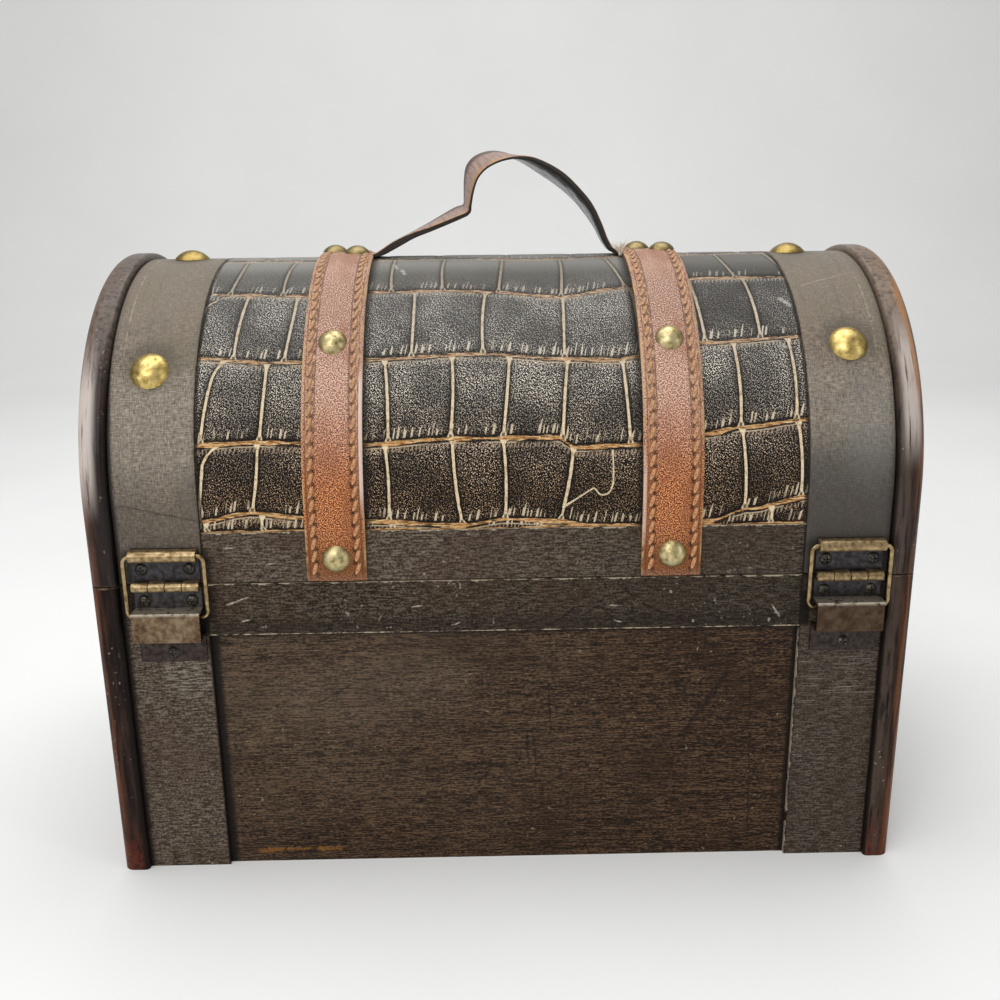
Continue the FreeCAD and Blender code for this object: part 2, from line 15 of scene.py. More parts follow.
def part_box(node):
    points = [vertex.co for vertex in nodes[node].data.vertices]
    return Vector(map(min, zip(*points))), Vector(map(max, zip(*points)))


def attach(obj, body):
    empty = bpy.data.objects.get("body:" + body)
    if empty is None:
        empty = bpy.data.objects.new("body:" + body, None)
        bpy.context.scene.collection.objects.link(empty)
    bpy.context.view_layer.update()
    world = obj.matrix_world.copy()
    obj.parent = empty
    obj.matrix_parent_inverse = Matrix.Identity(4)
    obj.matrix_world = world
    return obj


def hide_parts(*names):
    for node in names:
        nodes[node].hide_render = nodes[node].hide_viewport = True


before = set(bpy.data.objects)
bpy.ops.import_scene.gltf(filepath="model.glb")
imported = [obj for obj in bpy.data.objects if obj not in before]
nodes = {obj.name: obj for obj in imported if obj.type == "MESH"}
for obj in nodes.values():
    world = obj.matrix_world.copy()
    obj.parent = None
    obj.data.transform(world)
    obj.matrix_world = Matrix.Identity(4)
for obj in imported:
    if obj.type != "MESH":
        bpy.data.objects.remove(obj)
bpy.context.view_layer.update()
MM = 0.001
X_AXIS, Y_AXIS, Z_AXIS = 0, 1, 2

# Places read from the CAD nodes
leather_low, leather_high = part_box("lid_leather_panel")
band_low, band_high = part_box("lid_right_band")
strap_low, strap_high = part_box("lid_right_strap")
board_low, board_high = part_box("base_right_end_board")
rail_low, rail_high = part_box("base_back_rail")
lid_rail_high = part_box("lid_back_rail")[1]
LID_RADIUS = leather_high.y
SPRING_Z = leather_high.z - LID_RADIUS
QUARTER = LID_RADIUS * math.pi / 2
PARTING_Z = (rail_high.z + band_low.z) / 2
LEATHER_TOP = leather_high.z
STRAP_THICKNESS = strap_high.y - LID_RADIUS
SKIN = LID_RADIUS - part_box("lid_shell")[1].y
CHANNEL_DROP = 8.6 * MM   # hinge channel's upper edge below the parting
STAY_HINGES = [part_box("left_stay_loop"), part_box("right_stay_loop")]
BAND_STUDS = [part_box(name) for name in nodes if "band_stud" in name]
# Places in millimetres, for materials
board_inner = board_low.x / MM
board_side = board_high.x / MM
board_reach = board_high.y / MM
strip_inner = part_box("base_back_right_strip")[0].x / MM
panel_face = -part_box("base_back_board")[0].y / MM
rail_face = -rail_low.y / MM
rail_foot = rail_low.z / MM
leather_side = leather_high.x / MM
crown_z = LEATHER_TOP / MM
spring_z = SPRING_Z / MM
parting_z = PARTING_Z / MM
channel_top = (PARTING_Z - CHANNEL_DROP) / MM


def lid_end(low_z):
    """Distance along the lid's surface from its crown to a height on the upright wall."""
    return QUARTER + SPRING_Z - low_z


def lid_point(x, along, lift):
    """Point on the lid: x, way along from the crown (negative at the back), lift off its leather."""
    radius = LID_RADIUS + lift
    if abs(along) <= QUARTER:
        angle = along / LID_RADIUS
        return Vector((x, radius * math.sin(angle), SPRING_Z + radius * math.cos(angle)))
    return Vector((x, math.copysign(radius, along), SPRING_Z - abs(along) + QUARTER))


# Mesh building

class Builder:
    """Collects grids of points, each with its own surface maps and material slot, into one mesh."""

    def __init__(self):
        self.points = []
        self.faces = []
        self.slots = []
        self.maps = {}

    def grid(self, rows, slot=0, flip=False, **maps):
        """Add rows of points joined by four-sided faces; maps are rows of (u, v) in the same order."""
        start = len(self.points)
        width = len(rows[0])
        for j, row in enumerate(rows):
            for i, point in enumerate(row):
                for name, values in maps.items():
                    self.maps.setdefault(name, {})[len(self.points)] = values[j][i]
                self.points.append(point)
        for j in range(len(rows) - 1):
            for i in range(width - 1):
                a = start + j * width + i
                face = (a, a + 1, a + 1 + width, a + width)
                self.faces.append(face[::-1] if flip else face)
                self.slots.append(slot)

    def finish(self, name, materials):
        mesh = bpy.data.meshes.new(name)
        mesh.from_pydata(self.points, [], self.faces)
        mesh.polygons.foreach_set("material_index", self.slots)
        mesh.polygons.foreach_set("use_smooth", [True] * len(self.faces))
        for map_name, values in self.maps.items():
            layer = mesh.uv_layers.new(name=map_name)
            for loop in mesh.loops:
                layer.data[loop.index].uv = values.get(loop.vertex_index, (0.0, 0.0))
        for material in materials:
            mesh.materials.append(material)
        piece = bpy.data.objects.new(name, mesh)
        bpy.context.scene.collection.objects.link(piece)
        return piece


def spread(low, high, count):
    """Evenly spaced numbers from low to high, both included."""
    return [low + (high - low) * k / count for k in range(count + 1)]


def follow(points, x):
    """Height of a given line of (x, y) points at x, eased through each point."""
    if x <= points[0][0]:
        return points[0][1]
    for (x0, y0), (x1, y1) in zip(points, points[1:]):
        if x <= x1:
            t = (x - x0) / (x1 - x0)
            return y0 + (y1 - y0) * t * t * (3 - 2 * t)
    return points[-1][1]


def smooth_run(points, steps):
    """Points along a smooth curve through a list of vectors."""
    run = []
    last = len(points) - 1
    for k in range(last):
        p0, p1, p2, p3 = (points[min(max(k + d, 0), last)] for d in (-1, 0, 1, 2))
        for step in range(steps):
            t = step / steps
            run.append(0.5 * (2 * p1 + (p2 - p0) * t + (2 * p0 - 5 * p1 + 4 * p2 - p3) * t ** 2
                              + (3 * p1 - p0 - 3 * p2 + p3) * t ** 3))
    run.append(points[-1].copy())
    return run


# Material building

def wired(operation):
    """Method that feeds a value, and another if one is given, into a math node."""
    def method(self, other=0):
        return self.look.node("ShaderNodeMath", {0: self, 1: other}, operation=operation)
    return method


class Value:
    """A value in a material. Sums, products and the masks below add the nodes that work them out."""
    __add__ = wired("ADD")
    __sub__ = wired("SUBTRACT")
    __mul__ = wired("MULTIPLY")
    __truediv__ = wired("DIVIDE")
    __abs__ = wired("ABSOLUTE")
    __lt__ = wired("LESS_THAN")
    most = wired("MAXIMUM")
    least = wired("MINIMUM")
    fract = wired("FRACT")
    pingpong = wired("PINGPONG")
    sine = wired("SINE")

    def __init__(self, look, socket):
        self.look = look
        self.socket = socket

    def __rsub__(self, other):
        return self.look.node("ShaderNodeMath", {0: other, 1: self}, operation="SUBTRACT")

    def vector(self, operation, other=(0, 0, 0), output="Vector"):
        return self.look.node("ShaderNodeVectorMath", {0: self, 1: other}, output, operation=operation)

    def stretch(self, *factors):
        return self.vector("MULTIPLY", (*factors, 1)[:3])

    def dot(self, direction):
        return self.vector("DOT_PRODUCT", direction, "Value")

    def gap(self, place):
        """Distance from a place."""
        return self.vector("DISTANCE", place, "Value")

    def turned(self, angle):
        """A surface map turned about its normal."""
        inputs = {"Vector": self, "Angle": angle}
        return self.look.node("ShaderNodeVectorRotate", inputs, rotation_type="Z_AXIS")

    def parts(self):
        split = self.look.node("ShaderNodeSeparateXYZ", {0: self}).socket.node
        return [Value(self.look, socket) for socket in split.outputs]

    def noise(self, scale=1, detail=3, roughness=0.55):
        """Cloudy pattern. A scale of two or three numbers stretches it."""
        source = self
        if isinstance(scale, tuple):
            source, scale = self.stretch(*scale), 1
        inputs = {"Vector": source, "Scale": scale, "Detail": detail, "Roughness": roughness}
        return self.look.node("ShaderNodeTexNoise", inputs, "Fac")

    def fade(self, start, end):
        """Eases from 0 at start to 1 at end, whichever is larger."""
        inputs = {"Value": self, "From Min": min(start, end), "From Max": max(start, end)}
        made = self.look.node("ShaderNodeMapRange", inputs, interpolation_type="SMOOTHSTEP")
        return made if end > start else 1 - made

    def near(self, centre, reach):
        """1 at centre, easing to 0 at reach on both sides."""
        return abs(self - centre).fade(reach, 0)

    def between(self, low, high, soft):
        return self.fade(low - soft, low + soft) * self.fade(high + soft, high - soft)

    def level(self, low, high):
        """Goes from low to high as the value goes from 0 to 1."""
        return self.look.node("ShaderNodeMapRange", {"Value": self, "To Min": low, "To Max": high})

    def ramp(self, *stops):
        """Colour from stops of (value, colour)."""
        made = self.look.node("ShaderNodeValToRGB", {0: self})
        points = made.socket.node.color_ramp.elements
        while len(points) < len(stops):
            points.new(0.5)
        for point, (position, colour) in zip(points, stops):
            point.position = position
            point.color = (*colour, 1)
        return made

    def shades(self, reach, *colours):
        """Colours spread evenly from reach below the middle value, 0.5, to reach above it."""
        return self.ramp(*zip(spread(0.5 - reach, 0.5 + reach, len(colours) - 1), colours))

    def bump(self, depth, under=None):
        """Relief of depth millimetres, laid over another relief if one is given."""
        inputs = {"Height": self, "Distance": depth * MM, "Strength": 1}
        if under is not None:
            inputs["Normal"] = under
        return self.look.node("ShaderNodeBump", inputs)


class Look:
    """One material. What is fed to a node or painted may be a number, a colour or a Value."""

    def __init__(self, name, **fixed):
        self.material = bpy.data.materials.new(name)
        self.material.use_nodes = True
        self.tree = self.material.node_tree
        self.shader = self.tree.nodes["Principled BSDF"]
        self.colour = None
        for socket, value in fixed.items():
            self.put(self.shader.inputs[socket.replace("_", " ")], value)

    def put(self, socket, value):
        if isinstance(value, Value):
            self.tree.links.new(value.socket, socket)
        elif socket.type == "RGBA":
            socket.default_value = (*value, 1)
        else:
            socket.default_value = value

    def node(self, kind, inputs, output=0, **settings):
        """Add a node, feed its inputs and give one of its outputs."""
        made = self.tree.nodes.new(kind)
        for key, value in settings.items():
            setattr(made, key, value)
        for key, value in inputs.items():
            self.put(made.inputs[key], value)
        return Value(self, made.outputs[output])

    def place(self):
        """Place in the part's frame at rest, in millimetres."""
        source = self.node("ShaderNodeTexCoord", {}, "Object")
        return self.node("ShaderNodeVectorMath", {0: source, "Scale": 1 / MM}, operation="SCALE")

    def flat(self, name="flat"):
        """A surface map, in millimetres."""
        return self.node("ShaderNodeUVMap", {}, uv_map=name)

    def mix(self, factor, a, b):
        return self.node("ShaderNodeMix", {0: factor, 6: a, 7: b}, 2, data_type="RGBA")

    def paint(self, mask, colour):
        """Lay a colour over what is there, as far as the mask goes."""
        self.colour = self.mix(mask, self.colour, colour)

    def finish(self, roughness, relief=None):
        self.put(self.shader.inputs["Base Color"], self.colour)
        self.put(self.shader.inputs["Roughness"], roughness)
        if relief is not None:
            self.put(self.shader.inputs["Normal"], relief)
        return self.material


def worn_line(distance, reach, place, scale=0.22):
    """Broken line of wear along an edge: distance from the edge in millimetres, wavering in width."""
    waver = place.noise(scale, 4, 0.7)
    width = waver.fade(0.42, 0.68).level(0, reach)
    return abs(distance) < width


def chips(place, scale, amount):
    """Small pale flecks where paint has chipped."""
    fleck = place.noise(scale, 2, 0.4).fade(amount, amount + 0.035)
    patch = place.noise(scale * 0.07, 2).fade(0.46, 0.66)
    return fleck * patch


def marks(place, lines, upright=Z_AXIS):
    """Mask of straight marks; lines hold (start, end, half width), and an end is (x, upright place)."""
    waver = place.noise(0.45, 3, 0.6) - 0.5
    broken = place.noise(0.8, 3, 0.7).fade(0.3, 0.55)
    total = 0
    for start, end, width in lines:
        ahead = (Vector(end) - Vector(start)).normalized()
        middle = (Vector(start) + Vector(end)) / 2
        reach = (Vector(end) - Vector(start)).length / 2
        run, side = [0, 0, 0], [0, 0, 0]
        run[X_AXIS], run[upright] = ahead
        side[X_AXIS], side[upright] = -ahead.y, ahead.x
        along = place.dot(run) - middle.dot(ahead)
        off = place.dot(side) - (middle.x * -ahead.y + middle.y * ahead.x)
        off = off + waver * (2.5 * width)
        mask = abs(off).fade(width, width * 0.35) * abs(along).fade(reach + 1, reach - 1)
        total = mask.most(total)
    return total * broken


PALE_WOOD = (0.42, 0.35, 0.25)
# Near black, for painted shade in corners and beside raised parts
SHADE_BLACK = (0.006, 0.004, 0.003)
# Marks of use on the back, in millimetres: (start, end, half width), each end as (x, z)
BOARD_MARKS = [
    ((-71.5, 68), (-58, 75.5), 0.5), ((-36, 64), (-22.5, 60), 0.4), ((-17, 41.7), (0.5, 40.4), 1.3),
    ((-11, 33), (-7, 38), 1), ((16, 75), (17, 53), 0.5), ((8, 54), (8.2, 37.5), 0.7),
    ((11, 47.5), (11.3, 35), 0.6), ((1, 33.6), (13.5, 33.4), 0.8), ((84, 79), (67, 50.7), 1.6),
    ((77, 62.5), (87, 54.4), 0.7), ((69.5, 53.7), (75.5, 49.5), 0.6), ((92.5, 76), (95, 3.5), 0.5),
    ((63, 79), (66, 71), 3), ((4.5, 4), (22.7, 6), 0.8), ((-108, 95), (-101, 93), 2),
]
RAIL_MARKS = [
    ((43.6, 113.8), (49, 107.6), 0.6), ((49, 107.6), (68.7, 99.3), 0.5),
    ((20.6, 102), (26, 106.6), 0.5), ((26, 106.6), (37.5, 105.3), 0.4),
]
RAIL_SCRATCHES = [
    ((-101.6, 109.4), (-94, 112.2), 0.45), ((-97, 102.7), (-94, 103.5), 0.4),
    ((-34, 107.3), (-30.5, 107.7), 0.4), ((-19.3, 100), (-17, 101), 0.35),
    ((38.6, 106.7), (42, 106.4), 0.35), ((40.5, 100.6), (43, 100.1), 0.35),
    ((98.6, 105.7), (101.3, 101.3), 0.45), ((-101.2, 131), (-97.7, 131.3), 0.4),
    ((-86, 124.6), (-83, 125.3), 0.4),
]
SCUFFS = [((-98, 4.4), (-88, 5), 1.5), ((-87, 5), (-77, 5.2), 0.9), ((-75, 5.2), (-65, 5), 1.2)]
FADED_PATCH = (-24, -79, 73)   # with x at 0.45 of its size
SCRAPED_SPOT = (-117.7, -84, 82)
# Marks of use and painted sheen on the lid, in millimetres: ends as (x, distance along from the crown)
BAND_RUBS = [((-118.2, -79.9), (-109.6, -80), 0.35), ((112.7, -40.8), (134.5, -31.5), 0.4)]
SCUFFED = (124, -92, 0)
SHEEN_SPOT = (131, -51, 0)   # with the distance halved
BAND_CUTS = [((-136.1, -126.1), (-126, -128.5), 0.4), ((-126, -128.5), (-110, -132.2), 0.45)]
STRAP_CROWN = (124, 84)   # where the straps turn from dark to pale
LEATHER_RUBS = [
    ((103.4, -48.4), (107.3, -52.6), 1.2), ((-40.6, -18), (-39.4, -23), 0.8),
    ((-37.4, -24), (-36.1, -28.7), 0.9), ((-108.6, -22), (-107.4, -43), 0.5),
    ((100.5, -70.5), (103, -71.5), 0.9),
]


def hinge_shade(x, z):
    """Painted shade around both stay hinges."""
    total = 0
    for low, high in STAY_HINGES:
        around = (x.between(low.x / MM - 1, high.x / MM + 1, 2.6)
                  * z.between(low.z / MM - 2, high.z / MM + 0.5, 2))
        total = around.most(total)
    return total


def board_look():
    """Dark stained board: lengthwise grain, scrapes, amber scuffing, painted shade by the strips."""
    look = Look("dark_board_stain", Specular_IOR_Level=0.16)
    place = look.place()
    x, y, z = place.parts()
    fine = place.noise((0.16, 0.9, 1.9), 4, 0.7)
    flecks = place.noise((0.7, 1, 1.6), 2)
    streaks = place.noise((0.018, 0.2, 0.55), 4, 0.6)
    broad = place.noise((0.012, 0.03, 0.035), 4)
    tone = fine * 0.52 + flecks * 0.34 + streaks * 0.14
    stain = tone.shades(0.065, (0.004, 0.0018, 0.0008), (0.029, 0.0132, 0.0056), (0.106, 0.06, 0.031))
    pale = x.fade(80, -75) * broad.fade(0.25, 0.6) * z.fade(10, 85).level(0.36, 0.95)
    look.colour = look.mix(pale, stain, tone.shades(0.07, (0.019, 0.011, 0.006), (0.143, 0.098, 0.061)))
    cloud = place.noise((0.03, 0.05, 0.04), 4).fade(0.5, 0.68)
    look.paint(cloud * 0.45, (0.021, 0.0095, 0.0042))
    outside = abs(y).fade(panel_face - 1.2, panel_face - 0.4)
    back = (y < 0) * outside
    faded = place.stretch(0.45, 1, 1).gap(FADED_PATCH).fade(27, 5)
    sunned = tone.shades(0.1, (0.032, 0.021, 0.0135), (0.18, 0.13, 0.09))
    look.paint(faded * 0.45, sunned)
    look.paint(marks(place, BOARD_MARKS) * back * 0.8, (0.009, 0.004, 0.002))
    look.paint(marks(place, SCUFFS) * back * 0.75, (0.235, 0.098, 0.018))
    look.paint(chips(place, 0.7, 0.7) * 0.5, PALE_WOOD)
    # Painted shadow beside the corner strips and under the rail.
    shadow = (strip_inner - abs(x)) / x.fade(-20, 20).level(4.2, 2.4)
    shade_mask = shadow.fade(1, 0.4).most(z.fade(rail_foot - 2.2, rail_foot - 0.3))
    look.paint(shade_mask * outside * 0.93, SHADE_BLACK)
    return look.finish(tone.level(0.66, 0.44), tone.bump(0.26))


def strip_look(name, dark, mid, light, wear_and_sheen):
    """Painted strip or rail; wear_and_sheen lists its rubbed edges as (axis, place, reach)."""
    look = Look(name, Specular_IOR_Level=0.12)
    place = look.place()
    axes = place.parts()
    x, y, z = axes
    fine = place.noise((0.22, 1, 1.5), 4, 0.7)
    mottle = place.noise(1.1, 4, 0.7)
    tone = fine * 0.56 + mottle * 0.44
    look.colour = tone.shades(0.06, dark, mid, light)
    warm = place.noise(0.035, 3).fade(0.42, 0.62)
    look.paint(warm * 0.55, look.mix(0.55, look.colour, (0.05, 0.024, 0.013)))
    look.paint(x.fade(-40, 90) * 0.36, (0.016, 0.013, 0.0085))
    back = y < 0
    girth = abs(x)
    look.paint(marks(place, RAIL_MARKS) * back * 0.8, (0.01, 0.006, 0.004))
    lower = z.between(rail_foot, rail_foot + 6, 3) * girth.fade(strip_inner, strip_inner - 2)
    look.paint(lower * 0.5, (0.01, 0.0065, 0.0045))
    scratched = (marks(place, RAIL_SCRATCHES) * back).most(chips(place, 0.6, 0.69) * 0.6)
    brushed = place.noise((0.05, 1, 2.2), 3, 0.6).fade(0.55, 0.66)
    brushed = brushed * z.between(66, 84, 9) * x.fade(106, 112) * back
    scraped = place.gap(SCRAPED_SPOT).fade(14, 4) * fine.fade(0.44, 0.6)
    scratched = scratched.most(brushed * 0.55).most(scraped * 0.32)
    look.paint(scratched * 0.85, (0.44, 0.4, 0.33))
    # Painted shade next to the end board and inner edge, in the rail-end gap, and round the hinges.
    notch = girth.between(strip_inner - 0.4, strip_inner + 3.4, 0.5) * z.between(97.5, 111.5, 0.8)
    margin = x.fade(-20, 20).level(2.8, 1)
    shade_mask = ((board_inner - girth) / margin).fade(1, 0.2).most(girth.near(strip_inner, 0.9))
    shade_mask = shade_mask.most(notch * back).most(hinge_shade(x, z) * back * 0.75)
    look.paint(shade_mask * 0.92, SHADE_BLACK)
    for axis, edge, reach in wear_and_sheen:
        line = worn_line(axes[axis] - edge, reach, place)
        if axis == X_AXIS:
            line = line * z.fade(97, 94) * 0.8
        look.paint(line * 0.85, PALE_WOOD)
    return look.finish(mottle.level(0.6, 0.42), tone.bump(0.24))


def rim_look(name, coat, gloss):
    """End board: dark lacquered rim, greyer on the right, rubbed outside, and a wood-grained end."""
    look = Look(name, Coat_Weight=coat, Coat_Roughness=0.18, Specular_IOR_Level=gloss)
    place = look.place()
    x, y, z = place.parts()
    runs = place.noise((0.6, 0.1, 0.06), 5, 0.65)
    dents = place.noise(0.5, 4, 0.6)
    look.colour = runs.shades(0.14, (0.0055, 0.003, 0.0024), (0.0145, 0.0072, 0.0056),
                              (0.034, 0.0165, 0.012))
    girth = abs(x)
    right = x.fade(-20, 20)
    over = girth - board_inner
    inner = right * over.fade(6.5, 4) * runs.fade(0.32, 0.56)
    look.paint(inner * 0.8, (0.072, 0.05, 0.037))
    up = (z - spring_z).most(0)
    reach = look.node("ShaderNodeCombineXYZ", {1: y, 2: up}).gap((0, 0, 0))
    face = reach.fade(board_reach - 1.5, board_reach - 8) * girth.fade(board_side - 3, board_side - 1)
    grain = place.noise((1, 0.03, 0.7), 5, 0.7)
    wood = grain.shades(0.12, (0.006, 0.003, 0.0022), (0.03, 0.0155, 0.01), (0.105, 0.06, 0.039))
    look.paint(face, wood)
    bare = face.level(1, 0.1)
    outer = girth.fade(board_side - 5.5, board_side - 1) * bare
    rub = place.noise((0.7, 0.04, 0.04), 3, 0.5).fade(0.34, 0.64)
    look.paint(outer * rub * 0.75, look.mix(right, (0.15, 0.052, 0.022), (0.215, 0.08, 0.028)))
    # Lighter over the lid's crown: painted sheen.
    crown = z.fade(178, 222) * dents.fade(0.2, 0.6) * bare
    look.paint(crown * 0.9, look.mix(right, (0.15, 0.116, 0.096), (0.22, 0.16, 0.115)))
    # Pale streaks high on the lid rims: painted highlight.
    sheen_streaks = place.noise((1.1, 0.1, 0.05), 4, 0.6)
    edge = look.mix(right, over.fade(2.4, 5.6), over.between(2, 8, 1.4))
    height = look.mix(right, z.between(152, 196, 12), z.between(166, 204, 11))
    wear_and_sheen = height * sheen_streaks.fade(0.24, 0.5) * edge * bare
    look.paint(wear_and_sheen * 0.88, look.mix(right, (0.57, 0.5, 0.46), (0.49, 0.425, 0.385)))
    amber = right * z.between(186, 226, 14) * over.fade(4.5, 7.5) * rub.fade(0.1, 0.6) * bare
    look.paint(amber * 0.8, (0.36, 0.165, 0.065))
    foot = z.fade(26, 2) * dents.fade(0.35, 0.6)
    look.paint(foot * 0.7, (0.115, 0.026, 0.014))
    look.paint(chips(place, 0.8, 0.68) * 0.5, (0.4, 0.32, 0.25))
    # Painted shade along the rim's inner edge, fading higher up.
    margin = z.fade(150, 200).level(2.8, 0.9).least(right.level(2.8, 1.1))
    shade_mask = (over / margin).fade(1, 0.4)
    look.paint(shade_mask * z.fade(150, 195).level(0.9, 0.25), SHADE_BLACK)
    seam = worn_line(z - (parting_z - 0.6), 0.8, place)
    look.paint(seam * 0.55, (0.3, 0.17, 0.11))
    sawn = abs(z - parting_z).fade(0.55, 0.35)
    look.paint(sawn, grain.shades(0.12, (0.02, 0.0115, 0.0075), (0.12, 0.072, 0.045)))
    return look.finish(dents.level(0.28, 0.5), dents.bump(0.3, runs.bump(0.2)))


def linen_look():
    """Khaki linen: crossed threads, rubbed lines, darker low on the right, painted shade by the rim."""
    look = Look("band_linen", Sheen_Weight=0.12, Sheen_Roughness=0.5, Specular_IOR_Level=0.3)
    flat = look.flat()
    across, along, _ = flat.parts()
    warp = flat.noise((2.3, 0.35), 3, 0.65)
    weft = flat.noise((0.35, 2.3), 3, 0.65)
    mottle = flat.noise(0.8, 3, 0.6)
    threads = (warp + weft) * 0.4 + mottle * 0.2
    look.colour = threads.shades(0.1, (0.06, 0.046, 0.032), (0.158, 0.127, 0.096), (0.29, 0.24, 0.186))
    cloud = flat.noise(0.035, 4, 0.6).fade(0.42, 0.68)
    look.paint(cloud * 0.6, (0.125, 0.11, 0.066))
    tanned = flat.noise((0.05, 0.022), 4, 0.6).fade(0.48, 0.64)
    look.paint(tanned * 0.45, threads.shades(0.1, (0.085, 0.056, 0.04), (0.27, 0.195, 0.145)))
    streaked = flat.noise((0.42, 0.016), 4, 0.6).fade(0.52, 0.66)
    look.paint(streaked * 0.4, (0.074, 0.06, 0.044))
    length = abs(along)
    light = threads.shades(0.1, (0.105, 0.085, 0.065), (0.235, 0.2, 0.16), (0.4, 0.35, 0.285))
    look.paint(length.between(80, 119, 9) * 0.7, light)
    low_right = across.fade(0, 60) * length.fade(96, 118)
    look.paint(low_right * 0.74, (0.038, 0.037, 0.034))
    # A spot of painted sheen on the right band.
    sheen_spot = flat.stretch(1, 0.5, 1).gap(SHEEN_SPOT).fade(14, 4)
    look.paint(sheen_spot * 0.35, (0.165, 0.166, 0.16))
    look.paint(length.fade(116, 138) * 0.42, (0.044, 0.034, 0.028))
    grime = flat.noise((0.03, 0.02), 3).fade(0.52, 0.72)
    look.paint(grime * 0.45, (0.06, 0.05, 0.04))
    smooth = length.fade(74, 52)
    look.paint(smooth * 0.45, (0.172, 0.14, 0.101))
    rub = flat.noise((0.025, 0.55), 5, 0.75).fade(0.67, 0.72)
    look.paint(rub * 0.3, (0.33, 0.285, 0.22))
    girth = abs(across)
    fold = worn_line(girth - (board_inner - 4.6), 0.5, flat, 0.3)
    upper = length.fade(84, 68)
    look.paint(fold * upper * 0.5, (0.36, 0.3, 0.22))
    back = along < 0
    look.paint(marks(flat, BAND_RUBS, Y_AXIS) * back * 0.45, (0.36, 0.32, 0.26))
    look.paint(marks(flat, BAND_CUTS, Y_AXIS) * back * 0.8, (0.03, 0.024, 0.018))
    hairline = flat.noise(0.16, 3, 0.6).near(0.5, 0.014)
    scuffed = hairline * flat.gap(SCUFFED).fade(19, 8)
    look.paint(scuffed * 0.5, (0.34, 0.31, 0.26))
    for low, high in BAND_STUDS:
        middle = (low + high) / 2
        seat = math.atan2(middle.y, middle.z - SPRING_Z) * LID_RADIUS / MM
        ring = flat.gap((middle.x / MM, seat - math.copysign(2.6, seat), 0)).fade(12.5, 6)
        look.paint(ring * 0.5, (0.05, 0.042, 0.028))
    place_x, _, place_z = look.place().parts()
    # Painted shade along the rim and around the stay hinges.
    margin = (across.fade(20, -20) * along.fade(-70, -100)).level(0.8, 2.4)
    shade_mask = ((board_inner - girth) / margin).fade(1, 0.3)
    shade_mask = shade_mask.most(hinge_shade(place_x, place_z) * back * 0.8)
    look.paint(shade_mask * 0.9, SHADE_BLACK)
    return look.finish(threads.level(0.68, 0.5), threads.bump(0.34))


